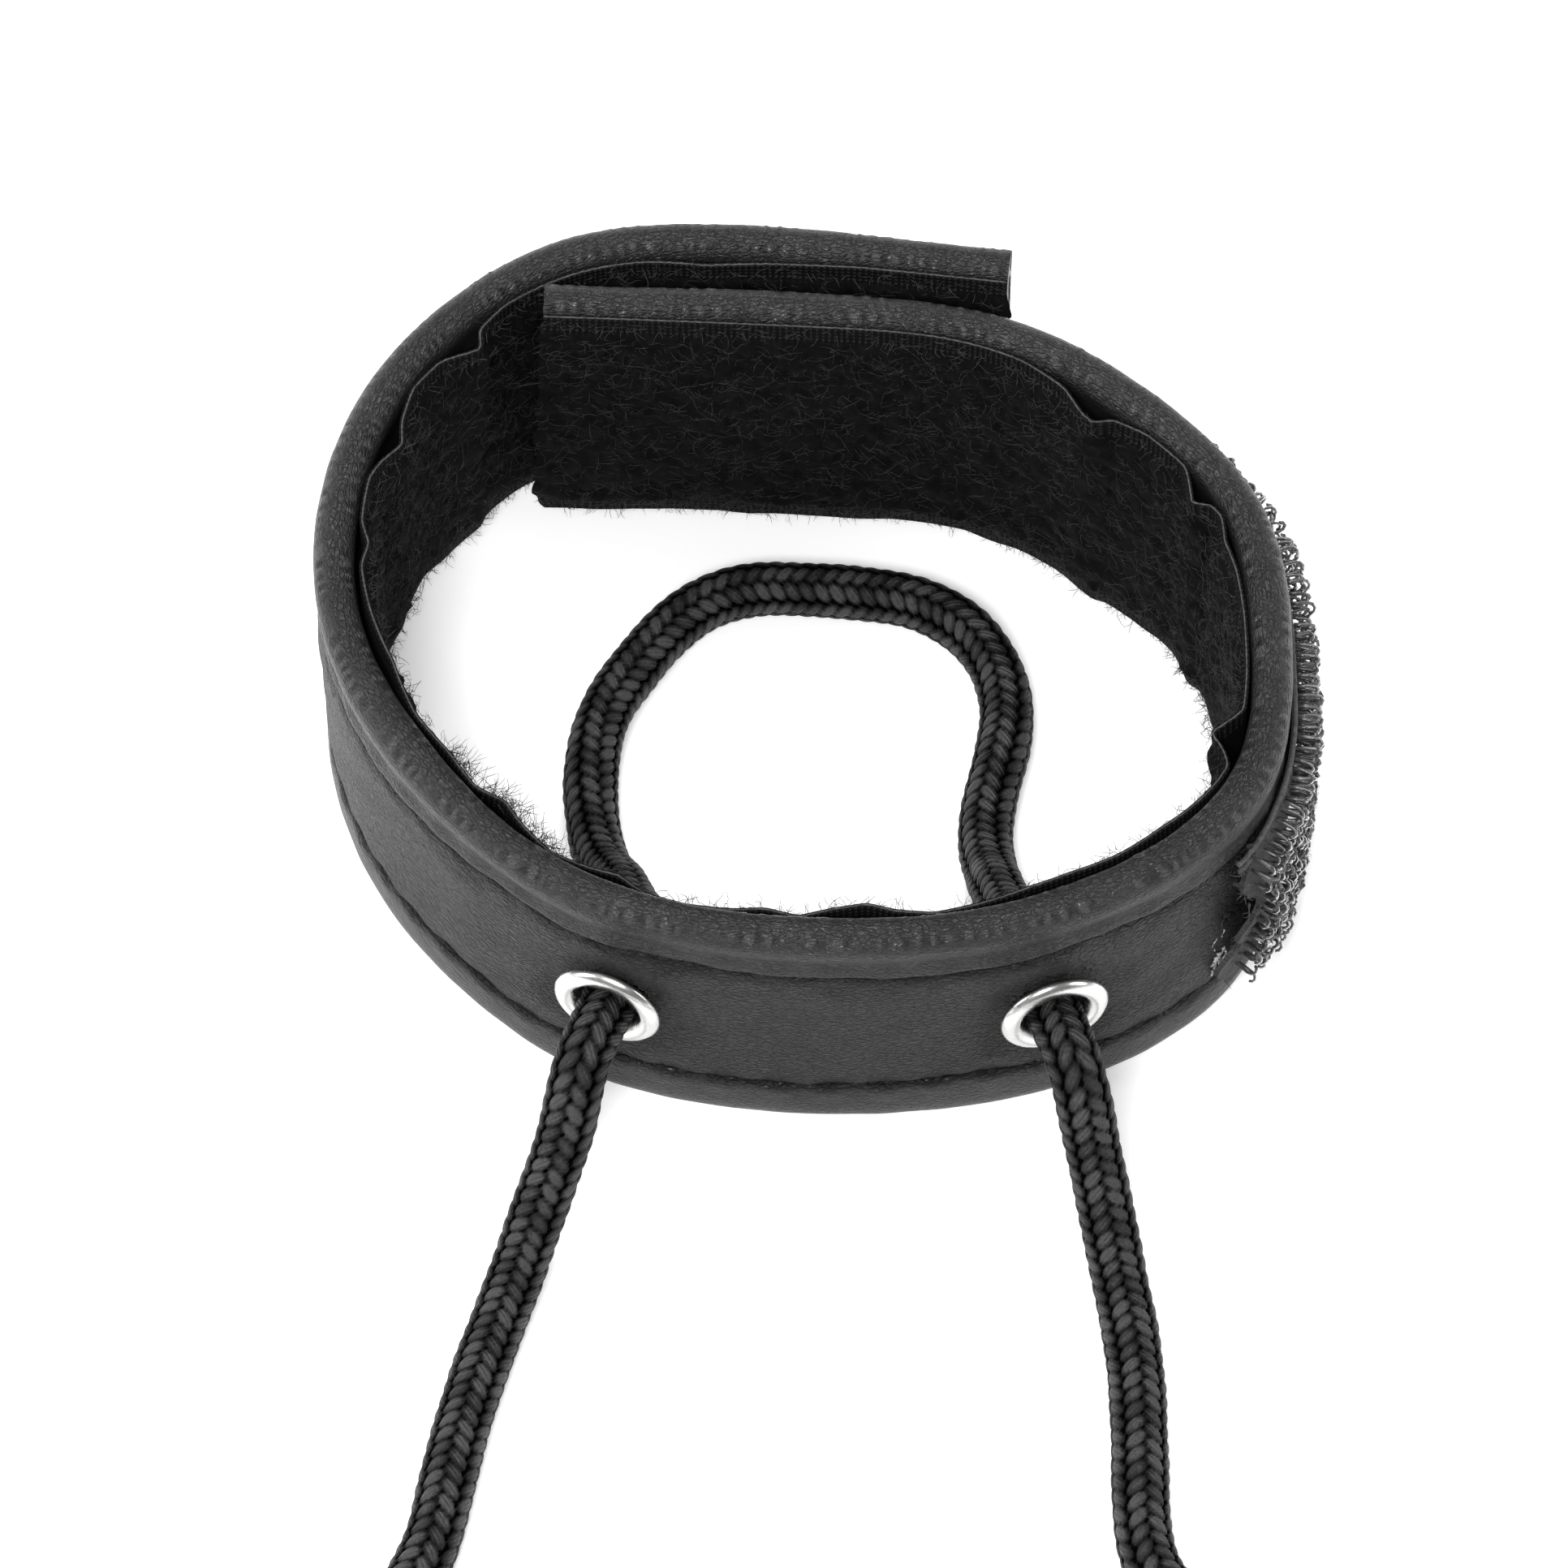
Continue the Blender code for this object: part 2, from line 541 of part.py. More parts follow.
# ---------------------------------------------------------------- the whole cuff
def build():
    clear_scene()
    leather = material("leather", (0.020, 0.020, 0.021), 0.38)
    foam = material("foam", (0.035, 0.035, 0.037), 0.9)
    loop_tape = material("loop_tape", (0.008, 0.008, 0.008), 0.95)
    hooks = material("hook_tape", (0.03, 0.03, 0.032), 0.55)
    thread = material("thread", (0.012, 0.012, 0.012), 0.7)
    nickel = material("nickel", (0.78, 0.77, 0.75), 0.22, 1.0)
    cord = material("braided_cord", (0.015, 0.015, 0.015), 0.75)

    half = CLEARANCE / 2
    links = {
        "inner_tail": (TAIL_END, TAIL_FOLD - half),
        "right_side": (TAIL_FOLD + half, RIGHT_FOLD - half),
        "front": (RIGHT_FOLD + half, LEFT_FOLD - half),
        "left_side": (LEFT_FOLD + half, FLAP_FOLD - half),
        "outer_flap": (FLAP_FOLD + half, FLAP_END),
    }
    cutters = [
        hole_cutter("left", EYELET_SPACING / 2), hole_cutter("right", -EYELET_SPACING / 2),
    ]
    for link, (start, end) in links.items():
        cover = make_cover(link, start, end, leather)
        core = make_foam(link, start, end, foam)
        lining = make_lining(link, start, end, loop_tape)
        make_threads(link, start, end, thread)
        if link == "front":
            for layer in (cover, core, lining):
                punch(layer, cutters)
    make_hook_tape("right_side", TAIL_FOLD + half, -HOOK_TAPE_START, hooks)
    make_hook_tape("inner_tail", TAIL_END + HOOK_TAPE_END_MARGIN, TAIL_FOLD - half, hooks)

    make_eyelet("left", EYELET_SPACING / 2, nickel)
    make_eyelet("right", -EYELET_SPACING / 2, nickel)

    cord_tube("cord_inner_loop", inner_loop_route(), cord, far_end_in_eyelet=True)
    for side in ("left", "right"):
        cord_tube(f"cord_{side}_tail", tail_route(side), cord)
        make_coil(side, cord)
        make_knot(side, cord)


build()
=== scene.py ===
# %% [markdown]
# # A padded cuff with a hook-and-loop closure and a cord
#
# The cuff is a strip of foam wrapped in black leather, bent round so that its two ends overlap at
# the back.  Loop tape lines its inside, hook tape lies on its outside at the right, and a braided
# cord passes two eyelets at the front.  The model's frame is loaded first: it gives the sizes that
# every piece is fitted to, and the names of the bodies that some pieces are hung on.

# %% Load the frame
import math

import bmesh
import bpy
import numpy as np
from mathutils import Matrix, Vector


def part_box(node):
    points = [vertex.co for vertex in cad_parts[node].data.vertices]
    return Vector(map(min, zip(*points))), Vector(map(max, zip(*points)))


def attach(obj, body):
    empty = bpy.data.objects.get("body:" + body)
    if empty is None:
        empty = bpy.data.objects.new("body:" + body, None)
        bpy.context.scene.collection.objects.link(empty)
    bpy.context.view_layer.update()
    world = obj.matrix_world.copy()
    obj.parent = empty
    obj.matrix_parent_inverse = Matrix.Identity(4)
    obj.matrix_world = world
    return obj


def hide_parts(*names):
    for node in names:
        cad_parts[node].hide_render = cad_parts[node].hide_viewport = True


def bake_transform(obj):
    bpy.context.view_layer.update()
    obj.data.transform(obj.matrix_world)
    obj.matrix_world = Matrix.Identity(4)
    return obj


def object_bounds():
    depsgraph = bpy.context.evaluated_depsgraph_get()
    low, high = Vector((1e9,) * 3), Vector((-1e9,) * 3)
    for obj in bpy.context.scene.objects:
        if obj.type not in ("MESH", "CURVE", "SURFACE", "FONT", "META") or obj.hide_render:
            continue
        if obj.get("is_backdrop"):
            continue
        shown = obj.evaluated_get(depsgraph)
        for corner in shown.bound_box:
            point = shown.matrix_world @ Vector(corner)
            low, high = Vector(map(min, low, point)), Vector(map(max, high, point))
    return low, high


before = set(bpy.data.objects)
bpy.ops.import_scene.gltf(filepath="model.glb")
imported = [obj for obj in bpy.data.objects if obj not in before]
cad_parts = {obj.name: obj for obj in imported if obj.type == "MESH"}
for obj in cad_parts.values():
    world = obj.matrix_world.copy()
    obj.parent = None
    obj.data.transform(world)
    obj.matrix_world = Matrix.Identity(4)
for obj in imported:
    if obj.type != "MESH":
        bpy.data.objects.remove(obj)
cad_low, cad_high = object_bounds()
mm = 0.001
print("frame size, mm:", [round(v / mm, 1) for v in cad_high - cad_low])

# %% [markdown]
# ## Camera, floor and light
#
# A long lens looks down on the cuff at about 58 degrees, straight on to the eyelets.  The floor is
# pale and plain, and glows a little, so that its shadows stay faint.  Black leather shows its form
# only through what it mirrors, so the light is a large soft panel above and behind, a smaller one
# above the camera, a weaker one at each side, and a bright room.

# %% Camera
ELEVATION = math.radians(57.88)
AIM = Vector((-2.62 * mm, -2.51 * mm, 0))
REACH = 686.7 * mm
SENSOR_WIDTH, LENS = 36, 170.9
camera_data = bpy.data.cameras.new("camera")
camera_data.sensor_width = SENSOR_WIDTH
camera_data.lens = LENS
camera = bpy.data.objects.new("camera", camera_data)
bpy.context.scene.collection.objects.link(camera)
camera.location = AIM + REACH * Vector((0, -math.cos(ELEVATION), math.sin(ELEVATION)))
camera.rotation_euler = (math.pi / 2 - ELEVATION, 0, 0)
bpy.context.scene.camera = camera
print("camera at, mm:", [round(v / mm, 1) for v in camera.location])


# %% Helpers for materials
def link_nodes(tree, *pairs):
    for source, target in pairs:
        tree.links.new(source, target)


def new_material(name):
    made = bpy.data.materials.new(name)
    made.use_nodes = True
    tree = made.node_tree
    return made, tree, tree.nodes["Principled BSDF"]


def maths(tree, operation, a, b=None, clamp=False):
    """A Math node; a and b are numbers or sockets."""
    node = tree.nodes.new("ShaderNodeMath")
    node.operation = operation
    node.use_clamp = clamp
    for socket, value in zip(node.inputs, (a, b)):
        if isinstance(value, bpy.types.NodeSocket):
            tree.links.new(value, socket)
        elif value is not None:
            socket.default_value = value
    return node.outputs[0]


def ramp(tree, value, *stops):
    """A colour ramp from (position, grey or colour) stops."""
    node = tree.nodes.new("ShaderNodeValToRGB")
    tree.links.new(value, node.inputs["Fac"])
    elements = node.color_ramp.elements
    while len(elements) < len(stops):
        elements.new(0.5)
    for element, (position, colour) in zip(elements, stops):
        element.position = position
        grey = (colour,) * 3 if isinstance(colour, (int, float)) else colour
        element.color = (*grey, 1)
    return node.outputs["Color"]


def bump(tree, height, distance, strength=1.0, under=None):
    node = tree.nodes.new("ShaderNodeBump")
    node.inputs["Distance"].default_value = distance
    node.inputs["Strength"].default_value = strength
    tree.links.new(height, node.inputs["Height"])
    if under is not None:
        tree.links.new(under, node.inputs["Normal"])
    return node.outputs["Normal"]


def stretched_uv(tree, across, up, turn=0.0):
    """The piece's own UV map, in metres, scaled and turned for a pattern."""
    source = tree.nodes.new("ShaderNodeUVMap")
    source.uv_map = "UVMap"
    mapping = tree.nodes.new("ShaderNodeMapping")
    mapping.inputs["Scale"].default_value = (across, up, 1)
    mapping.inputs["Rotation"].default_value = (0, 0, turn)
    tree.links.new(source.outputs["UV"], mapping.inputs["Vector"])
    return mapping.outputs["Vector"]


def noise(tree, place, scale, detail=3.0, roughness=0.5, distortion=0.0):
    node = tree.nodes.new("ShaderNodeTexNoise")
    node.inputs["Scale"].default_value = scale
    node.inputs["Detail"].default_value = detail
    node.inputs["Roughness"].default_value = roughness
    node.inputs["Distortion"].default_value = distortion
    tree.links.new(place, node.inputs["Vector"])
    return node.outputs["Fac"]


def cells(tree, place, scale, feature="DISTANCE_TO_EDGE"):
    node = tree.nodes.new("ShaderNodeTexVoronoi")
    node.feature = feature
    node.inputs["Scale"].default_value = scale
    tree.links.new(place, node.inputs["Vector"])
    return node.outputs["Distance"]


def object_place(tree):
    return tree.nodes.new("ShaderNodeTexCoord").outputs["Object"]


def set_finish(shader, **values):
    names = {"base": "Base Color", "rough": "Roughness", "metal": "Metallic",
             "spec": "Specular IOR Level"}
    for key, value in values.items():
        shader.inputs[names[key]].default_value = (*value, 1) if key == "base" else value


# %% Floor and light
bpy.ops.object.select_all(action="DESELECT")
bpy.ops.mesh.primitive_plane_add(size=6, location=(0, 0, cad_low.z - 0.05 * mm))
floor = bpy.context.object
floor.name = "floor"
floor_paint, _, floor_shader = new_material("pale_floor")
set_finish(floor_shader, base=(0.93, 0.93, 0.93), rough=0.9, spec=0.1)
floor_shader.inputs["Emission Color"].default_value = (1, 1, 1, 1)
floor_shader.inputs["Emission Strength"].default_value = 0.32
floor.data.materials.append(floor_paint)
floor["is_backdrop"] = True


def soft_panel(name, place, aim, size, power):
    data = bpy.data.lights.new(name, "AREA")
    data.shape = "RECTANGLE"
    data.size, data.size_y = size
    data.energy = power
    made = bpy.data.objects.new(name, data)
    bpy.context.scene.collection.objects.link(made)
    made.location = place
    made.rotation_euler = (Vector(aim) - Vector(place)).to_track_quat("-Z", "Y").to_euler()


soft_panel("panel_above", (-0.1, 0.35, 0.85), (0, 0, 0), (0.7, 0.45), 7.5)
soft_panel("panel_front", (-0.12, -0.62, 0.88), (0, 0, 0), (0.3, 0.22), 9.0)
soft_panel("panel_left", (-0.85, -0.2, 0.45), (0, 0, 0), (0.3, 0.45), 4.5)
soft_panel("panel_right", (0.85, -0.2, 0.45), (0, 0, 0), (0.3, 0.45), 2.5)
room = bpy.data.worlds.new("room")
room.use_nodes = True
room.node_tree.nodes["Background"].inputs["Color"].default_value = (1, 1, 1, 1)
room.node_tree.nodes["Background"].inputs["Strength"].default_value = 0.22
bpy.context.scene.world = room
bpy.context.scene.view_settings.view_transform = "Standard"

# %% [markdown]
# ## The strip's line
#
# The strip is easiest to make flat and then bend, as its maker does.  A place on it has three
# measures: how far along it is from the middle of the front, how far it stands out of the middle
# line, and its height.  This cell repeats the line that the frame was built on, and turns those
# measures into places.

# %% Line of the strip
HALF_WIDTH, HALF_DEPTH = 41.6 * mm, 36.4 * mm
CUFF_HEIGHT = 32 * mm
TAIL_LINE = 28.35 * mm
FRONT_POINT = 8
TAIL_FOLD, RIGHT_FOLD, LEFT_FOLD, FLAP_FOLD = -76 * mm, -36 * mm, 36 * mm, 80 * mm
TAIL_LIFT = 2.6 * mm
FRONT_LEAN, END_SLANT, END_REACH = 0.8 * mm, 1.5 * mm, 0.4 * mm
CORNER_ROUND = 2.4 * mm
MID_HEIGHT = CUFF_HEIGHT / 2


def smooth_line(points):
    """Cubic through points: their distances, the points and the second derivatives."""
    points = np.array(points, float)
    at = np.concatenate(([0.0], np.cumsum(np.linalg.norm(np.diff(points, axis=0), axis=1))))
    steps = np.diff(at)
    slopes = np.diff(points, axis=0) / steps[:, None]
    system, right = np.eye(len(at)), np.zeros_like(points)
    for i in range(1, len(at) - 1):
        system[i, i - 1:i + 2] = steps[i - 1], 2 * (steps[i - 1] + steps[i]), steps[i]
        right[i] = 6 * (slopes[i] - slopes[i - 1])
    return at, points, np.linalg.solve(system, right)


def along(line, distances):
    """Points and unit directions at many distances along a smooth line."""
    at, points, bend = line
    distances = np.atleast_1d(np.asarray(distances, float))
    i = np.clip(np.searchsorted(at, distances) - 1, 0, len(at) - 2)
    step = (at[i + 1] - at[i])[:, None]
    a = (at[i + 1] - distances)[:, None] / step
    b = 1 - a
    point = a * points[i] + b * points[i + 1]
    point += ((a**3 - a) * bend[i] + (b**3 - b) * bend[i + 1]) * step**2 / 6
    way = (points[i + 1] - points[i]) / step
    way = way + ((1 - 3 * a**2) * bend[i] + (3 * b**2 - 1) * bend[i + 1]) * step / 6
    return point, way / np.linalg.norm(way, axis=1)[:, None]


TAIL_SHARES = ((-0.575, -0.2), (0.015, -0.6), (0.447, -3.2))
ROUND_SHARES = ((0.71, 0.495), (0.904, 0.239), (0.969, -0.151), (0.909, -0.588), (0.579, -0.896),
                (0.038, -1.0), (-0.502, -0.868), (-0.82, -0.544), (-1.005, -0.113),
                (-0.993, 0.354), (-0.802, 0.75), (-0.48, 0.985), (-0.062, 1.0), (0.433, 0.929))
STRIP = smooth_line([(x * HALF_WIDTH, TAIL_LINE + y * mm) for x, y in TAIL_SHARES]
                    + [(x * HALF_WIDTH, y * HALF_DEPTH) for x, y in ROUND_SHARES])
FRONT_AT = STRIP[0][FRONT_POINT]
TAIL_END, FLAP_END = -FRONT_AT, STRIP[0][-1] - FRONT_AT


def on_strip(distance, offset, height):
    """World places, as rows, of places given in the strip's own measures."""
    shape = np.asarray(distance, float).shape
    distance = np.asarray(distance, float).ravel()
    height = np.broadcast_to(height, shape).ravel()
    at_end = np.clip((TAIL_END + 8 * mm - distance) / (8 * mm), 0, 1)
    corner = (np.clip((TAIL_END + CORNER_ROUND - distance) / CORNER_ROUND, 0, 1)
              * np.clip(1 - height / CORNER_ROUND, 0, 1) ** 2)
    point, way = along(STRIP, distance + FRONT_AT + 0.7 * CORNER_ROUND * corner
                       - (END_REACH + END_SLANT * (1 - height / CUFF_HEIGHT)) * at_end)
    lean = FRONT_LEAN * np.exp(-(distance / (26 * mm)) ** 2) * (height / CUFF_HEIGHT) ** 2
    offset = (np.broadcast_to(offset, shape).ravel() + lean)[:, None]
    outward = np.stack((-way[:, 1], way[:, 0]), 1)
    past = np.clip((TAIL_FOLD - distance) / (TAIL_FOLD - TAIL_END), 0, 1)
    plan = point + outward * offset
    return np.column_stack((plan, height + TAIL_LIFT * past))


def strip_place(distance, offset=0.0, height=MID_HEIGHT):
    return Vector(on_strip(np.array([distance]), offset, height)[0])


def outward_at(distance):
    return (strip_place(distance, 1.0) - strip_place(distance, 0.0)).normalized()


print("strip length, mm:", round((FLAP_END - TAIL_END) / mm, 1))
print("front of the line, mm:", round(strip_place(0).y / mm, 2))

# %% [markdown]
# The strip is a chain of five stiff lengths in the frame, and real leather bends smoothly where
# they meet.  So each layer is made in four zones, each with one bend inside it, and cut where a
# zone moves with one body alone: the middle of the front and the middles of the two sides.

# %% Zones of the strip
FRONT_CUT = 0.0
LEFT_CUT = (LEFT_FOLD + FLAP_FOLD) / 2
RIGHT_CUT = (RIGHT_FOLD + TAIL_FOLD) / 2
BEND_REACH = 11 * mm
ZONES = {
    "tail": (TAIL_END, RIGHT_CUT, "right_side", "inner_tail", TAIL_FOLD, -1),
    "front_right": (RIGHT_CUT, FRONT_CUT, "front", "right_side", RIGHT_FOLD, -1),
    "front_left": (FRONT_CUT, LEFT_CUT, "front", "left_side", LEFT_FOLD, 1),
    "flap": (LEFT_CUT, FLAP_END, "left_side", "outer_flap", FLAP_FOLD, 1),
}


def bend_with(piece, zone):
    """Bakes the piece's place into its mesh; the places at the two ends of the zone's bend are worked
    out but not used.
    """
    _, _, near, far, fold, way = ZONES[zone]
    strip_place(fold - way * BEND_REACH)
    strip_place(fold + way * BEND_REACH)
    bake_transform(piece)


# %% Helpers for meshes
def deselect():
    if bpy.context.object is not None and bpy.context.object.mode != "OBJECT":
        bpy.ops.object.mode_set(mode="OBJECT")
    bpy.ops.object.select_all(action="DESELECT")


def apply_modifiers(piece):
    deselect()
    piece.select_set(True)
    bpy.context.view_layer.objects.active = piece
    for modifier in list(piece.modifiers):
        bpy.ops.object.modifier_apply(modifier=modifier.name)


def set_places(mesh, places):
    mesh.vertices.foreach_set("co", np.asarray(places, np.float32).ravel())
    mesh.update()


def get_places(mesh):
    places = np.empty(len(mesh.vertices) * 3, np.float32)
    mesh.vertices.foreach_get("co", places)
    return places.reshape(-1, 3).astype(float)


def set_uv(mesh, uv):
    """Gives each corner the UV of its vertex."""
    layer = mesh.uv_layers.get("UVMap") or mesh.uv_layers.new(name="UVMap")
    corner = np.empty(len(mesh.loops), np.int32)
    mesh.loops.foreach_get("vertex_index", corner)
    layer.data.foreach_set("uv", np.asarray(uv, np.float32)[corner].ravel())


def set_value(mesh, name, values):
    layer = mesh.attributes.new(name, "FLOAT", "POINT")
    layer.data.foreach_set("value", np.asarray(values, np.float32))


def mesh_piece(name, places, faces, material, smooth=True):
    """A new object from places and faces, shaded smooth."""
    mesh = bpy.data.meshes.new(name)
    mesh.from_pydata([tuple(p) for p in places], [], faces)
    mesh.validate()
    made = bpy.data.objects.new(name, mesh)
    bpy.context.scene.collection.objects.link(made)
    mesh.materials.append(material)
    if smooth:
        mesh.shade_smooth()
    return made


def grid_faces(rows, columns, closed=False, start=0):
    """Faces of a grid numbered row by row; closed joins the last column to the first."""
    last = columns if closed else columns - 1
    r, c = np.meshgrid(np.arange(rows - 1), np.arange(last), indexing="ij")
    n = (c + 1) % columns
    quads = np.stack((r * columns + c, r * columns + n, (r + 1) * columns + n,
                      (r + 1) * columns + c), -1)
    return (quads.reshape(-1, 4) + start).tolist()


def wander(values, seed, *waves):
    """A smooth random line: sums of sines of the given (wavelength, size)."""
    rng = np.random.default_rng(seed)
    total = np.zeros_like(np.asarray(values, float))
    for length, size in waves:
        for part in (0.77, 1.0, 1.31):
            total += size / 2 * np.sin(math.tau * values / (length * part) + rng.uniform(0, 9))
    return total


def smooth_step(value, low, high):
    t = np.clip((value - low) / (high - low), 0, 1)
    return t * t * (3 - 2 * t)


# %% [markdown]
# ## The cord
#
# The cord is a round braid, 5 mm thick: bundles of fine yarn go round it both ways and pass over
# and under each other, so that its surface is columns of slanting plaits, each column leaning the
# other way from the next.  A bump map alone would leave its outline straight, and the real
# outline is scalloped.  So the plaits are real: a tube is laid along the cord's line, and each of
# its points is raised by the height of the plait that it lies on.

# %% Cord sizes
CORD_DIAMETER = 5 * mm
CORD_REST = CORD_DIAMETER / 2
PLAIT_COLUMNS = 8
PLAIT_PITCH = 1.48 * mm
PLAIT_HEIGHT = 0.40 * mm
PLAIT_ANGLE = math.radians(48)
PLAIT_HALF_LENGTH, PLAIT_HALF_WIDTH = 1.42 * mm, 0.76 * mm
CORD_SIDES = 60
CORD_STEP = 0.29 * mm


def frames_along(points):
    """Tangents, and two square directions that don't twist, at each point of a line."""
    tangent = np.gradient(points, axis=0)
    tangent /= np.linalg.norm(tangent, axis=1)[:, None]
    side = np.empty_like(tangent)
    start = np.cross(tangent[0], (0, 0, 1))
    if np.linalg.norm(start) < 0.1:
        start = np.cross(tangent[0], (0, 1, 0))
    side[0] = start / np.linalg.norm(start)
    for i in range(1, len(points)):
        carried = side[i - 1] - tangent[i] * side[i - 1].dot(tangent[i])
        side[i] = carried / np.linalg.norm(carried)
    return tangent, side, np.cross(tangent, side)


def plait_surface(distance, turn):
    """Height of the braid, the place across its plait and the plait's own tone, per point."""
    column, row = turn * PLAIT_COLUMNS, distance / PLAIT_PITCH
    wide = math.pi * CORD_DIAMETER / PLAIT_COLUMNS
    best, across, tone = (np.zeros_like(column) for _ in range(3))
    for near in (-1, 0, 1):
        middle = np.floor(column) + 0.5 + near
        even = np.floor(middle) % 2 == 0
        lean, shift = np.where(even, 1.0, -1.0), np.where(even, 0.0, 0.5)
        u = (column - middle) * wide
        number = np.round(row - shift)
        v = (row - shift - number) * PLAIT_PITCH
        for step in (-PLAIT_PITCH, 0, PLAIT_PITCH):
            long = (v + step) * math.cos(PLAIT_ANGLE) + lean * u * math.sin(PLAIT_ANGLE)
            short = u * math.cos(PLAIT_ANGLE) - lean * (v + step) * math.sin(PLAIT_ANGLE)
            reach = 1 - (long / PLAIT_HALF_LENGTH) ** 2 - np.abs(short / PLAIT_HALF_WIDTH) ** 2.2
            height = np.sqrt(np.clip(reach, 0, 1)) - 0.10 * long / PLAIT_HALF_LENGTH
            height = np.where(reach > 0, height, 0)
            higher = height > best
            best = np.where(higher, height, best)
            across = np.where(higher, short / PLAIT_HALF_WIDTH, across)
            mark = np.sin(13 * (middle % PLAIT_COLUMNS) + 7.7 * (number - step / PLAIT_PITCH))
            tone = np.where(higher, mark, tone)
    return best * (1 + 0.06 * tone), across, tone


def cord_piece(name, route, material, seed):
    """A braided tube along the smooth line through a route, and its centreline."""
    line = smooth_line(route)
    count = int(line[0][-1] / CORD_STEP) + 1
    centre, _ = along(line, np.linspace(0, line[0][-1], count))
    run = np.concatenate(([0], np.cumsum(np.linalg.norm(np.diff(centre, axis=0), axis=1))))
    _, side, other = frames_along(centre)
    turn = np.linspace(0, 1, CORD_SIDES, endpoint=False)
    distance = np.repeat(run[:, None], CORD_SIDES, 1)
    turns = np.repeat(turn[None, :], count, 0)
    height, across, tone = plait_surface(distance + wander(distance, seed, (31 * mm, 0.25 * mm)),
                                         (turns + wander(distance, seed + 1, (60 * mm, 0.03))) % 1)
    radius = CORD_DIAMETER / 2 - PLAIT_HEIGHT * (1 - height) + 0.06 * mm
    radius = radius + wander(distance, seed + 2, (9 * mm, 0.03 * mm))
    angle = turns * math.tau
    places = (centre[:, None] + (np.cos(angle) * radius)[..., None] * side[:, None]
              + (np.sin(angle) * radius)[..., None] * other[:, None])
    caps = [centre[0] - (centre[1] - centre[0]), centre[-1] + (centre[-1] - centre[-2])]
    faces = grid_faces(count, CORD_SIDES, closed=True)
    first, last = count * CORD_SIDES, count * CORD_SIDES + 1
    for i in range(CORD_SIDES):
        j = (i + 1) % CORD_SIDES
        faces.append((first, j, i))
        faces.append((last, first - CORD_SIDES + i, first - CORD_SIDES + j))
    piece = mesh_piece(name, np.vstack((places.reshape(-1, 3), caps)), faces, material)
    flat = np.column_stack((distance.ravel(), angle.ravel() * CORD_DIAMETER / 2))
    set_uv(piece.data, np.vstack((flat, [[0, 0], [run[-1], 0]])))
    set_value(piece.data, "plait_height", np.append(height.ravel(), [0.4, 0.4]))
    set_value(piece.data, "plait_across", np.append(across.ravel(), [0, 0]))
    set_value(piece.data, "plait_tone", np.append(tone.ravel(), [0, 0]))
    return piece, centre[::11], run[-1]


# %% [markdown]
# The yarn is matt black with a slight shine along its fibres.  The plaits' own heights paint shade
# into the hollows between them, as a darker colour, and fine ridges run along each plait.

# %% Cord material
def attribute(tree, name):
    node = tree.nodes.new("ShaderNodeAttribute")
    node.attribute_name = name
    return node.outputs["Fac"]


def braid_finish():
    made, tree, shader = new_material("braided_cord")
    high = attribute(tree, "plait_height")
    yarn = stretched_uv(tree, 1, 1)
    fleck = noise(tree, yarn, 2600, 4, 0.65)
    ridges = maths(tree, "SINE", maths(tree, "MULTIPLY", attribute(tree, "plait_across"), 13))
    # painted shade: the plait's height darkens the colour in the hollows between plaits; the fleck
    # noise and each plait's random tone vary it
    shade = maths(tree, "MULTIPLY", ramp(tree, high, (0.45, 0.05), (0.8, 0.6), (1, 1.0)),
                  maths(tree, "ADD", maths(tree, "MULTIPLY", fleck, 1.7), 0.15))
    tone = maths(tree, "ADD", maths(tree, "MULTIPLY", attribute(tree, "plait_tone"), 0.28), 1.0)
    shade = maths(tree, "MULTIPLY", shade, tone)
    link_nodes(tree, (ramp(tree, shade, (0, 0.0008), (0.5, 0.008), (1, 0.042)),
                      shader.inputs["Base Color"]))
    fine = bump(tree, noise(tree, yarn, 3800, 3, 0.6), 0.20 * mm, 1.0)
    link_nodes(tree, (bump(tree, ridges, 0.05 * mm, 0.9, fine), shader.inputs["Normal"]))
    link_nodes(tree, (ramp(tree, high, (0.45, 0.0), (0.9, 0.34)),
                      shader.inputs["Specular IOR Level"]))
    set_finish(shader, rough=0.55)
    return made


BRAIDED_CORD = braid_finish()

# %% [markdown]
# The cord enters through one eyelet, lies in a loop on the floor inside the cuff, and leaves
# through the other.  Outside, each tail comes down to the floor and runs forward, and the rest of
# it is wound into a flat coil with a stopper knot in its end.  These are the frame's own routes.

# %% Cord routes
EYELET_SPACING = 38 * mm
COIL_TURN_RADIUS, COIL_PITCH, COIL_TURNS = 28.5 * mm, 5.2 * mm, 2
COIL_X, COIL_Y = 31.3 * mm, -123.5 * mm
GAP = 0.3 * mm
KNOT_RADIUS = 5.2 * mm


def in_mm(*places):
    return [tuple(v * mm for v in place) for place in places]


def through_eyelet(distance, steps):
    return [tuple(strip_place(distance, step * mm)) for step in steps]


def floor_route(*plan):
    """Places resting on the floor."""
    return [(x * mm, y * mm, CORD_REST) for x, y in plan]


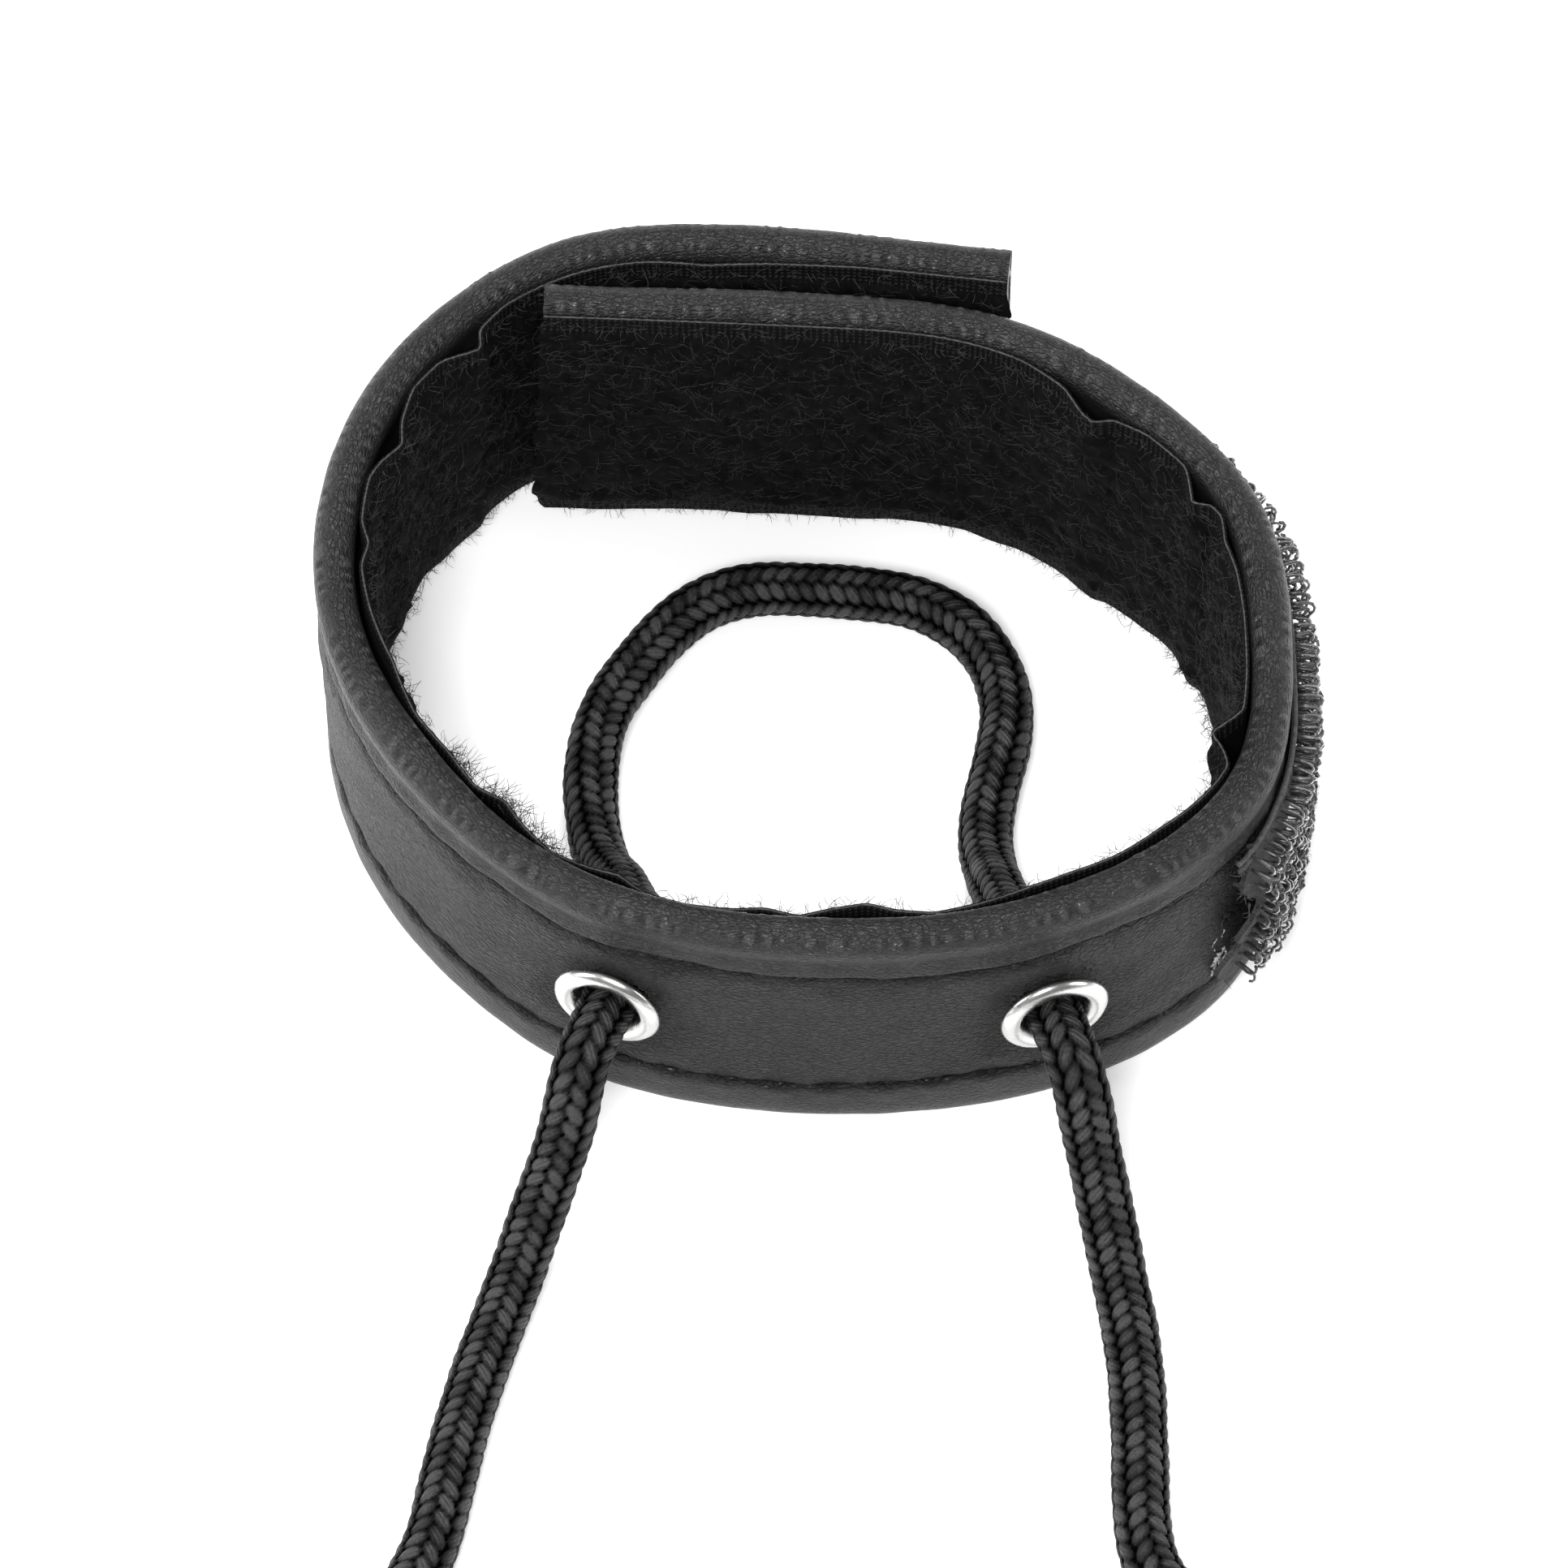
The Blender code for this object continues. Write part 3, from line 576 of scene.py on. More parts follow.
loop_route = (
    through_eyelet(EYELET_SPACING / 2, (-0.15, -4.0, -6.2))
    + in_mm((-15.7, -24.3, 12.8), (-16.9, -19.8, 9.2), (-18.8, -14.6, 4.6))
    + floor_route((-20.1, -8.5), (-20.3, -2.0), (-19.0, 4.0), (-16.0, 9.2), (-12.2, 14.0),
                  (-7.0, 17.0), (-1.5, 17.4), (4.5, 16.9), (10.0, 15.7), (14.6, 12.5),
                  (17.2, 8.0), (17.9, 2.5), (16.8, -3.5), (15.8, -9.5))
    + in_mm((16.2, -15.0, 4.6), (16.8, -20.0, 9.2), (17.7, -24.6, 12.8))
    + through_eyelet(-EYELET_SPACING / 2, (-6.2, -4.0, -0.15)))
tail_routes = {
    "left": through_eyelet(EYELET_SPACING / 2, (0.15, 4.5, 7.5))
    + in_mm((-21.6, -45.3, 12.2), (-24.0, -50.5, 7.0), (-26.3, -56.0, 3.4))
    + floor_route((-28.4, -62.0), (-30.4, -69.0), (-32.0, -76.5), (-33.4, -82.5),
                  (-36.7, -87.8), (-43.0, -90.8)),
    "right": through_eyelet(-EYELET_SPACING / 2, (0.15, 4.5, 7.5))
    + in_mm((24.1, -45.5, 12.2), (25.6, -50.5, 7.0), (26.9, -56.0, 3.4))
    + floor_route((27.9, -62.0), (28.3, -69.0), (28.3, -76.0), (28.5, -81.0),
                  (29.8, -85.2), (33.0, -88.4), (38.4, -90.4)),
}


def coil_route(side):
    """From the coil's outside, inwards round two turns, to its knot, as floor places."""
    way, start, merged = (1, 122, 160) if side == "left" else (-1, 62, 24)
    sign = -1 if side == "left" else 1
    knot_at = 215 + 720 if side == "left" else -35 - 720
    outside = COIL_TURN_RADIUS + CORD_DIAMETER + GAP
    hollow = COIL_TURN_RADIUS - COIL_TURNS * COIL_PITCH - CORD_DIAMETER / 2
    knot_reach = hollow - KNOT_RADIUS - 2 * GAP
    places = []
    for angle in np.arange(start, knot_at - way * 24, way * 12):
        turned = abs(angle - merged) / 360 * (1 if (angle - merged) * way > 0 else -1)
        reach = COIL_TURN_RADIUS - COIL_PITCH * max(turned, 0)
        if turned < 0:
            reach += (outside - COIL_TURN_RADIUS) * float(smooth_step(-turned * 360, 0, 38))
        left = abs(knot_at - angle)
        reach += (knot_reach - reach) * float(smooth_step(100 - left, 0, 92))
        turn = math.radians(angle)
        places.append((sign * COIL_X + reach * math.cos(turn),
                       COIL_Y + reach * math.sin(turn), CORD_REST))
    return places, knot_reach, math.radians(knot_at), sign


# %% Braid the cord
loop, loop_line, loop_length = cord_piece("cord_loop", loop_route, BRAIDED_CORD, 11)
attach(loop, "front")
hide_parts("cord_inner_loop")
strip_place(EYELET_SPACING / 2)
print("loop length, mm:", round(loop_length / mm, 1))

# %% [markdown]
# ### Stopper knots
#
# An overhand knot keeps the cord's end from slipping back.  Its centreline is three lobes that
# pass over and under each other, drawn tight, with a short end left standing.

# %% Tie the knots
def knot_route(centre, heading):
    """A tight overhand knot's line, along a heading in plan, with a short end."""
    t = np.linspace(-0.35, math.tau + 0.05, 26)
    across = (np.sin(t) + 2 * np.sin(2 * t)) * 1.25 * mm
    ahead = (np.cos(t) - 2 * np.cos(2 * t)) * 1.35 * mm
    up = -np.sin(3 * t) * 1.5 * mm
    ahead_way = np.array((math.cos(heading), math.sin(heading), 0))
    side_way = np.array((-math.sin(heading), math.cos(heading), 0))
    spots = np.array(centre) + ahead[:, None] * ahead_way + across[:, None] * side_way
    spots[:, 2] += up
    return [tuple(p) for p in spots]


for side, exit_at in (("left", EYELET_SPACING / 2), ("right", -EYELET_SPACING / 2)):
    coil, knot_reach, knot_turn, sign = coil_route(side)
    tail, tail_line, tail_length = cord_piece(
        f"cord_tail_{side}", tail_routes[side] + coil, BRAIDED_CORD, 21 if sign < 0 else 31)
    heading = knot_turn - sign * math.pi / 2
    knot_low, knot_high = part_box(f"cord_{side}_knot")
    knot, _, _ = cord_piece(f"cord_knot_{side}",
                            knot_route((knot_low + knot_high) / 2, heading), BRAIDED_CORD, 41)
    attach(tail, "front")
    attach(knot, "front")
    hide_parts(f"cord_{side}_tail", f"cord_{side}_coil")
    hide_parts(f"cord_{side}_knot")
    strip_place(exit_at)
    print(side, "tail length, mm:", round(tail_length / mm, 1))

# %% [markdown]
# ## The leather cover
#
# One piece of soft leather is wrapped round the foam, rolled over the strip's two long edges and
# turned in behind the lining.  A seam along each edge pulls the leather down, so the edge stands
# up as a roll and the panel between the seams swells a little.  The leather is longer than the
# bend that it goes round, so it puckers finely on the rolls' shoulders.  The section is drawn as
# a smooth line through a few places, a flat grid gets that section, and then the puckers, the
# wandering seams and the dents are pressed into it before it is bent round.

# %% Leather section
LEATHER = 0.9 * mm
DIMPLE_AT = 13.4 * mm
STITCH_PITCH = 4.6 * mm
COVER_SECTION = in_mm(
    (-1.25, 23.0), (-1.3, 25.5), (-1.35, 27.5), (-1.6, 28.9), (-1.72, 30.1), (-1.3, 31.3),
    (-0.5, 31.9), (0.4, 32.0), (1.25, 31.65), (1.85, 30.9), (2.05, 30.0), (1.95, 29.2),
    (1.68, 28.5), (1.58, 27.9), (1.72, 27.2), (1.92, 26.6), (1.92, 26.2), (1.6, 25.92),
    (0.95, 25.74), (1.45, 25.5), (1.85, 24.9), (2.0, 23.8), (2.0, 20.0), (1.95, 16.0),
    (1.95, 12.0), (1.95, 8.4), (1.8, 7.2), (1.4, 6.58), (0.95, 6.34), (1.6, 6.12), (1.95, 5.7),
    (2.1, 4.6), (2.15, 3.2), (1.95, 1.7), (1.2, 0.5), (0.2, 0.03), (-0.8, 0.25), (-1.6, 1.1),
    (-1.75, 2.4), (-1.5, 3.8), (-1.3, 5.5), (-1.25, 8.5))
SECTION_LINE = smooth_line(COVER_SECTION)
EYELETS = {"left": EYELET_SPACING / 2, "right": -EYELET_SPACING / 2}
ROLL_MIDDLE, ROLL_HALF_HEIGHT = 0.15 * mm, 2.0 * mm


def seam_wander(s, upper):
    """How far the seams stray up and down."""
    return np.where(upper, wander(s, 5, (34 * mm, 0.30 * mm), (13 * mm, 0.16 * mm)),
                    wander(s, 6, (38 * mm, 0.25 * mm), (12 * mm, 0.14 * mm)))


def work_leather(s, offset, height, normal_offset, normal_height):
    """Presses the seams, swells and dents into the section; the last result is the puckers' painted
    light.
    """
    edge = np.where(height > MID_HEIGHT, CUFF_HEIGHT - height, height)
    outside = smooth_step(offset, 0.2 * mm, 0.9 * mm)
    upper = height > MID_HEIGHT
    near_seam = np.exp(-((edge - 6.2 * mm) / (2.0 * mm)) ** 2) * outside
    height = height + near_seam * seam_wander(s, upper)
    # leather swells between stitches and is pulled in at each
    stitch = np.cos(math.tau * s / STITCH_PITCH)
    beside = np.exp(-((edge - 7.2 * mm) / (1.1 * mm)) ** 2) * outside
    press = -0.10 * mm * beside * stitch
    press += np.exp(-((edge - 5.4 * mm) / (0.7 * mm)) ** 2) * outside * 0.07 * mm * stitch
    # puckers across the shoulders of the rolls, inside and outside
    bearing = np.arctan2(CUFF_HEIGHT / 2 - edge - MID_HEIGHT + ROLL_HALF_HEIGHT,
                         np.abs(offset - ROLL_MIDDLE))
    shoulder = np.exp(-((bearing - math.radians(50)) / math.radians(13)) ** 2)
    shoulder *= edge < 4 * mm
    warped = s + wander(s, 8, (7 * mm, 0.42 * mm)) + 0.25 * offset
    crease = np.sin(math.tau * warped / (1.4 * mm)) + 0.4 * np.sin(math.tau * warped / (0.63 * mm))
    crease = crease * np.clip(0.65 + 0.6 * wander(s, 9, (9 * mm, 1.0)), 0.1, 1.3)
    press += np.where(upper, 0.075, 0.03) * mm * crease * shoulder
    # the puckers' painted light, round 0.5: a painted highlight on their ridges and painted shade in
    # their troughs, on the upper rolls only
    painted_pucker_light = 0.5 + 0.5 * np.clip(crease, -1, 1) * shoulder * upper
    # slow swells of the panel and the rolls
    panel = smooth_step(edge, 7.4 * mm, 10 * mm) * outside
    press += panel * (wander(s, 12, (23 * mm, 0.10 * mm), (9 * mm, 0.05 * mm))
                      + wander(s + 1.7 * height, 13, (14 * mm, 0.07 * mm)))
    press += (1 - panel) * wander(s, 14, (27 * mm, 0.07 * mm), (6 * mm, 0.02 * mm))
    height = height + (edge < 4 * mm) * np.where(upper, 1, 0) * wander(
        s, 15, (41 * mm, 0.12 * mm))
    # the eyelets squeeze the panel, and the left one pulls a dimple above it
    for at in EYELETS.values():
        away = np.hypot(s - at, height - MID_HEIGHT)
        press -= 0.55 * mm * (1 - smooth_step(away, 4.6 * mm, 9.0 * mm)) * outside
    dimple = np.exp(-((s - DIMPLE_AT) / (4.0 * mm)) ** 2 - ((height - 26 * mm) / (2.6 * mm)) ** 2)
    offset = offset - 0.42 * mm * dimple * outside
    return offset + press * normal_offset, height + press * normal_height, painted_pucker_light


def strip_grid(name, start, end, step, rows):
    """A flat grid from a primitive: its mesh, and each vertex's distance and row share."""
    columns = max(2, int(round((end - start) / step)) + 1)
    deselect()
    bpy.ops.mesh.primitive_grid_add(x_subdivisions=columns - 1, y_subdivisions=rows - 1, size=1)
    piece = bpy.context.object
    piece.name = name
    piece.data.name = name
    flat = get_places(piece.data)
    distance = start + (flat[:, 0] + 0.5) * (end - start)
    return piece, distance, flat[:, 1] + 0.5


def remove_round(piece, distance, height, radius):
    """Deletes the faces round each eyelet's middle."""
    inside = np.zeros(len(distance), bool)
    for at in EYELETS.values():
        inside |= np.hypot(distance - at, height - MID_HEIGHT) < radius
    if not inside.any():
        return
    shape = bmesh.new()
    shape.from_mesh(piece.data)
    shape.verts.ensure_lookup_table()
    doomed = [shape.verts[i] for i in np.nonzero(inside)[0]]
    bmesh.ops.delete(shape, geom=doomed, context="VERTS")
    shape.to_mesh(piece.data)
    shape.free()


def face_out(piece, middle_distance, outwards=1):
    """Turns all faces over if the one in the middle looks the wrong way."""
    middle = strip_place(middle_distance, outwards * 4 * mm)
    way = outward_at(middle_distance) * outwards
    near = min(piece.data.polygons, key=lambda f: (f.center - middle).length)
    if near.normal.dot(way) < 0:
        piece.data.flip_normals()


# %% [markdown]
# ### Leather finish
#
# The leather is a soft black grain.  Fine creases, about a millimetre long, cover it and lie
# mostly along the strip.  Stretched cells give the pebbles between the creases, noise breaks them
# up, and the same pattern makes the leather a little duller in its creases and paints shade into
# them as a darker colour.

# %% Leather material
def leather_finish():
    made, tree, shader = new_material("leather")
    place = stretched_uv(tree, 1.0, 2.1, 0.30)
    bend = noise(tree, stretched_uv(tree, 1, 1), 420, 3)
    warped = tree.nodes.new("ShaderNodeVectorMath")
    warped.operation = "MULTIPLY_ADD"
    warped.inputs[1].default_value = (0.0012, 0.0012, 0)
    link_nodes(tree, (bend, warped.inputs[0]), (place, warped.inputs[2]))
    pebbles = cells(tree, warped.outputs[0], 1150)
    small = cells(tree, warped.outputs[0], 2600)
    broad = noise(tree, stretched_uv(tree, 1, 1), 130, 4, 0.6)
    grain_and_crease_shade = maths(tree, "ADD", ramp(tree, pebbles, (0, 0.0), (0.16, 0.8), (0.5, 1.0)),
                  maths(tree, "MULTIPLY", ramp(tree, small, (0, 0.0), (0.25, 1.0)), 0.35))
    # the grain and its painted crease shade are fainter on the stretched rolls, so the rolls come out
    # lighter
    slack = maths(tree, "ADD", maths(tree, "MULTIPLY", attribute(tree, "slack"), 0.8), 0.2)
    grain_and_crease_shade = maths(tree, "MULTIPLY", maths(tree, "SUBTRACT", grain_and_crease_shade, 1.3), slack)
    grain_and_crease_shade = maths(tree, "ADD", grain_and_crease_shade, 1.3)
    # painted shade: the grain's creases come out darker in colour than its pebbles; the broad noise
    # varies the tone at random
    shade = maths(tree, "ADD", maths(tree, "MULTIPLY", grain_and_crease_shade, 0.46),
                  maths(tree, "MULTIPLY", broad, 0.45))
    # painted highlight on the puckers' ridges and painted shade in their troughs; the ridges are also
    # made glossier below
    painted_pucker_light = attribute(tree, "painted_pucker_light")
    shade = maths(tree, "ADD", shade, maths(tree, "MULTIPLY", maths(tree, "SUBTRACT", painted_pucker_light, 0.5),
                                            1.15))
    link_nodes(tree, (ramp(tree, shade, (0.0, 0.002), (0.45, 0.008), (0.8, 0.017), (1.0, 0.036)),
                      shader.inputs["Base Color"]))
    dull = maths(tree, "SUBTRACT", 0.46, maths(tree, "MULTIPLY", grain_and_crease_shade, 0.10))
    dull = maths(tree, "ADD", dull, maths(tree, "MULTIPLY", attribute(tree, "slack"), 0.06))
    dull = maths(tree, "SUBTRACT", dull, maths(tree, "MULTIPLY", maths(tree, "SUBTRACT", painted_pucker_light,
                                                                       0.5), 0.3))
    link_nodes(tree, (dull, shader.inputs["Roughness"]))
    soft = bump(tree, broad, 0.35 * mm, 0.35)
    link_nodes(tree, (bump(tree, grain_and_crease_shade, 0.40 * mm, 1.0, soft), shader.inputs["Normal"]))
    set_finish(shader, spec=0.26)
    return made


LEATHER_FINISH = leather_finish()

# %% Cover the strip
LEATHER_STEP = 0.30 * mm
SECTION_ROWS = 156
fine_at = np.linspace(0, SECTION_LINE[0][-1], 2000)
fine_height = along(SECTION_LINE, fine_at)[0][:, 1]
fine_edge = np.minimum(fine_height, CUFF_HEIGHT - fine_height)
closeness = np.cumsum(1 + 2.2 * np.exp(-((fine_edge - 6.25 * mm) / (0.8 * mm)) ** 2)
                      + 0.8 * (fine_edge < 4.5 * mm))
section_at = np.interp(np.linspace(closeness[0], closeness[-1], SECTION_ROWS), closeness, fine_at)
section, section_way = along(SECTION_LINE, section_at)
print("rows are apart by, mm:", round(float(np.diff(section_at).min()) / mm, 2), "to",
      round(float(np.diff(section_at).max()) / mm, 2))
EYELET_HOLE = 3.5 * mm
FAR_AWAY = 1.0  # moves the turned-in edges out of the eyelet hole's reach


def cover_zone(zone):
    start, end = ZONES[zone][:2]
    piece, s, share = strip_grid(f"leather_{zone}", start, end, LEATHER_STEP, SECTION_ROWS)
    row = np.clip(np.rint(share * (SECTION_ROWS - 1)).astype(int), 0, SECTION_ROWS - 1)
    offset, height = section[row, 0], section[row, 1]
    normal = np.stack((-section_way[row, 1], section_way[row, 0]), 1)
    offset, height, painted_pucker_light = work_leather(s, offset, height, normal[:, 0], normal[:, 1])
    set_places(piece.data, on_strip(s, offset, height))
    set_uv(piece.data, np.column_stack((s, section_at[row])))
    set_value(piece.data, "slack", smooth_step(np.minimum(height, CUFF_HEIGHT - height),
                                               5.0 * mm, 7.5 * mm) * (offset > 0))
    # the puckers' painted highlight and shade, for the leather's colour
    set_value(piece.data, "painted_pucker_light", painted_pucker_light)
    remove_round(piece, s, height + FAR_AWAY * (offset < 0), EYELET_HOLE)
    face_out(piece, (start + end) / 2)
    skin = piece.modifiers.new("leather thickness", "SOLIDIFY")
    skin.thickness = LEATHER
    skin.offset = -1
    apply_modifiers(piece)
    piece.data.materials.append(LEATHER_FINISH)
    piece.data.shade_smooth()
    piece.data.set_sharp_from_angle(angle=math.radians(62))
    return piece


NODES = {"tail": ("inner_tail", "right_side"), "front_right": ("front",),
         "front_left": (), "flap": ("left_side", "outer_flap")}


def takes_place(zone, layer):
    """The piece stands for the frame's same layer in its zone."""
    found = [f"{link}_{layer}" for link in NODES[zone]]
    if found:
        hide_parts(*found)


for zone in ZONES:
    leather = cover_zone(zone)
    bend_with(leather, zone)
    takes_place(zone, "cover")
    print(leather.name, "triangles:", sum(len(f.vertices) - 2 for f in leather.data.polygons))

# %% [markdown]
# ## The foam core
#
# The core shows only at the two cut ends, between the leather's layers.  It is a plain grey foam,
# swept through the section and closed at its ends, and punched where the eyelets pass.

# %% Foam
def foam_finish():
    made, tree, shader = new_material("foam")
    pores = noise(tree, object_place(tree), 2600, 4, 0.7)
    link_nodes(tree, (ramp(tree, pores, (0.3, 0.010), (0.7, 0.045)), shader.inputs["Base Color"]),
               (bump(tree, pores, 0.2 * mm, 0.7), shader.inputs["Normal"]))
    set_finish(shader, rough=0.95, spec=0.2)
    return made


FOAM_FINISH = foam_finish()
FOAM_HALF = in_mm((-1.15, 22.5), (-0.3, 23.2), (-0.35, 28.3), (-0.75, 29.6), (-0.6, 30.6),
                  (0.2, 30.9), (0.85, 30.4), (0.75, 29.4), (0.1, 28.4), (-0.05, 27.2),
                  (-0.1, 25.2), (0.1, 24.4), (0.9, 23.0))
foam_ring = FOAM_HALF + [(offset, CUFF_HEIGHT - height) for offset, height in FOAM_HALF[::-1]]


FOAM_STEPS = 40


def foam_zone(zone):
    """The section's ring repeated along the zone, with its two ends closed."""
    start, end = ZONES[zone][:2]
    ring = np.array(foam_ring)
    count = len(ring)
    s = np.repeat(np.linspace(start, end, FOAM_STEPS), count)
    places = on_strip(s, np.tile(ring[:, 0], FOAM_STEPS), np.tile(ring[:, 1], FOAM_STEPS))
    faces = grid_faces(FOAM_STEPS, count, closed=True)
    faces += [tuple(range(count)), tuple(range((FOAM_STEPS - 1) * count, FOAM_STEPS * count))]
    piece = mesh_piece(f"foam_{zone}", places, faces, FOAM_FINISH)
    deselect()
    piece.select_set(True)
    bpy.context.view_layer.objects.active = piece
    bpy.ops.object.mode_set(mode="EDIT")
    bpy.ops.mesh.select_all(action="SELECT")
    bpy.ops.mesh.normals_make_consistent(inside=False)
    bpy.ops.object.mode_set(mode="OBJECT")
    for at in EYELETS.values():
        if start < at < end:
            punch_hole(piece, at)
    piece.data.set_sharp_from_angle(angle=math.radians(40))
    return piece


def punch_hole(piece, at):
    """Cuts a round hole square to the strip with a cylinder."""
    deselect()
    turn = outward_at(at).to_track_quat("Z", "Y").to_euler()
    bpy.ops.mesh.primitive_cylinder_add(vertices=32, radius=EYELET_HOLE, depth=14 * mm,
                                        location=strip_place(at), rotation=turn)
    punch = bpy.context.object
    cut = piece.modifiers.new("eyelet hole", "BOOLEAN")
    cut.operation = "DIFFERENCE"
    cut.solver = "EXACT"
    cut.object = punch
    apply_modifiers(piece)
    bpy.data.objects.remove(punch, do_unlink=True)


for zone in ZONES:
    foam = foam_zone(zone)
    bend_with(foam, zone)
    takes_place(zone, "foam")
print("foam pieces:", len(ZONES))

# %% [markdown]
# ## The loop lining
#
# Loop tape, 30 mm wide, covers the inside.  It is stiffer than the leather and has less room on
# the inside of the bend, so it buckles away from the roll in scallops with sharp kinks between
# them.  The buckles are listed one by one: at each place along the strip, how far the tape's top and
# bottom edges stand in from where they would lie flat.

# %% Lining buckles
LINING_BACK, LINING_THICKNESS = 1.78 * mm, 0.8 * mm
LINING_LOW, LINING_HIGH = 0.9 * mm, 31.3 * mm
FRONT_RISES = ((-62, 0), (-48, -0.6), (-38, -2.2), (36, -2.4), (46, -1.2), (60, 0))
rise_at = np.array([at * mm for at, _ in FRONT_RISES])
rise_by = np.array([size * mm for _, size in FRONT_RISES])
TOP_BUCKLES = (
    (-140, 0.0), (-104, 0.1), (-95, 0.3), (-90, 0.9), (-87, 2.2), (-85.4, 2.4), (-84.4, 1.0),
    (-81, 0.1), (-76, 0.0), (-73.3, 1.3), (-71.8, 1.9), (-70.8, 0.5), (-69, 0.1), (-66, 0.7),
    (-62.5, 0.3), (-58, 0.1), (-52, 0.1), (-48, 0.2), (-46, 1.9), (-45, 2.7), (-43.6, 1.3),
    (-42, 0.3), (-37, 0.9), (-32, 1.3), (-27, 1.2), (-22, 1.5), (-18, 1.4), (-13, 0.9), (-9, 0.6),
    (-5.5, 1.2), (-3, 2.0), (0, 1.5), (3, 0.6), (6, 1.2), (9, 0.7), (13, 0.4), (17, 0.5), (20, 1.4),
    (23, 0.9), (27, 0.4), (31, 1.0), (34, 1.7), (37, 0.7), (41, 0.9), (46, 0.4),
    (52, 0.9), (58, 0.5), (63, 0.3), (65.5, 1.0), (68, 0.2), (73, 0.1), (74.8, 0.6),
    (77.5, 1.9), (80, 0.9), (84, 0.1), (88, 0.5), (90.6, 1.9), (91.8, 2.4), (93.2, 0.8),
    (97, 0.2), (104, 0.3), (112, 0.6), (118, 1.2), (124, 0.6), (132, 0.1), (146, 0.0))
buckle_at = np.array([at * mm for at, _ in TOP_BUCKLES])
buckle_in = np.array([size * mm for _, size in TOP_BUCKLES])


def top_buckle(s):
    """How far the top edge stands in, with softened kinks."""
    return sum(np.interp(s + shift, buckle_at, buckle_in)
               for shift in (-0.35 * mm, 0, 0.35 * mm)) / 3


def bottom_buckle(s):
    """The bottom edge bends on its own, more gently, and follows the deepest kinks."""
    own = np.clip(0.25 * mm + wander(s, 18, (17 * mm, 0.6 * mm), (8 * mm, 0.25 * mm)), 0, 2 * mm)
    free = 1 - smooth_step(s, 104 * mm, 112 * mm)
    free = free * smooth_step(s, TAIL_END, TAIL_END + 6 * mm)
    return (0.35 * own + 0.4 * top_buckle(s) - 0.35 * mm) * free


def lining_top(s):
    """Height of the tape's top edge, which lies lower along the front."""
    return LINING_HIGH + sum(np.interp(s + shift, rise_at, rise_by)
                             for shift in (-0.8 * mm, 0, 0.8 * mm)) / 3


def lining_offset(s, height):
    """Offset of the lining's back at a height: top and bottom edges buckle, the middle less."""
    share = (height - LINING_LOW) / (lining_top(s) - LINING_LOW)
    top, bottom = top_buckle(s), bottom_buckle(s)
    middle = 0.30 * top + 0.30 * bottom
    curve = top * np.clip(2 * share - 1, 0, 1) ** 1.3 + bottom * np.clip(1 - 2 * share, 0, 1) ** 1.5
    return -(LINING_BACK + curve + middle * (1 - np.abs(2 * share - 1)))


print("deepest buckle, mm:", round(float(buckle_in.max()) / mm, 1))

# %% [markdown]
# The tape's pile is a dense black felt of tiny loops.  Its two edges are a flat woven selvage with
# short ribs, and a paler thread closes the weave.  One material draws pile and selvage by height
# on the tape.

# %% Lining material
def loop_tape_finish():
    made, tree, shader = new_material("loop_tape")
    place = stretched_uv(tree, 1, 1)
    split = tree.nodes.new("ShaderNodeSeparateXYZ")
    tree.links.new(place, split.inputs[0])
    s, h = split.outputs[0], split.outputs[1]
    mid = (LINING_LOW + LINING_HIGH) / 2
    half = (LINING_HIGH - LINING_LOW) / 2
    from_middle = maths(tree, "ABSOLUTE", maths(tree, "SUBTRACT", h, mid))
    selvage = maths(tree, "GREATER_THAN", from_middle, half - 2.0 * mm)
    felt = noise(tree, place, 1500, 5, 0.7, 0.6)
    tufts = cells(tree, place, 700, "F1")
    pile = maths(tree, "MULTIPLY", maths(tree, "SUBTRACT", 1.1, tufts, True), felt)
    ribs = maths(tree, "SINE", maths(tree, "MULTIPLY", s, math.tau / (0.55 * mm)))
    weft = maths(tree, "SINE", maths(tree, "MULTIPLY", h, math.tau / (0.50 * mm)))
    weave = maths(tree, "MULTIPLY", maths(tree, "ADD", ribs, 1.0),
                  maths(tree, "ADD", maths(tree, "MULTIPLY", weft, 0.35), 0.65))
    pile_shade = ramp(tree, pile, (0.2, 0.0012), (0.5, 0.0045), (0.8, 0.018))
    weave_shade = ramp(tree, maths(tree, "MULTIPLY", weave, 0.5),
                       (0.1, 0.0025), (0.6, 0.012), (1, 0.034))
    mix = tree.nodes.new("ShaderNodeMix")
    mix.data_type = "RGBA"
    link_nodes(tree, (selvage, mix.inputs["Factor"]), (pile_shade, mix.inputs[6]),
               (weave_shade, mix.inputs[7]), (mix.outputs[2], shader.inputs["Base Color"]))
    high = maths(tree, "ADD", maths(tree, "MULTIPLY", weave, selvage), pile)
    link_nodes(tree, (bump(tree, high, 0.30 * mm, 0.8), shader.inputs["Normal"]))
    set_finish(shader, rough=0.9, spec=0.12)
    return made


def thread_finish(name, dark, light):
    made, tree, shader = new_material(name)
    fibre = noise(tree, object_place(tree), 3000, 4, 0.7)
    link_nodes(tree, (ramp(tree, fibre, (0.3, dark), (0.7, light)), shader.inputs["Base Color"]),
               (bump(tree, fibre, 0.05 * mm, 0.6), shader.inputs["Normal"]))
    set_finish(shader, rough=0.7, spec=0.3)
    return made


LOOP_TAPE = loop_tape_finish()
EDGE_THREAD = thread_finish("edge_thread", 0.025, 0.11)
TAPE_EDGE = thread_finish("tape_edge", 0.008, 0.085)
PILE_FIBRE = thread_finish("pile_fibre", 0.005, 0.06)

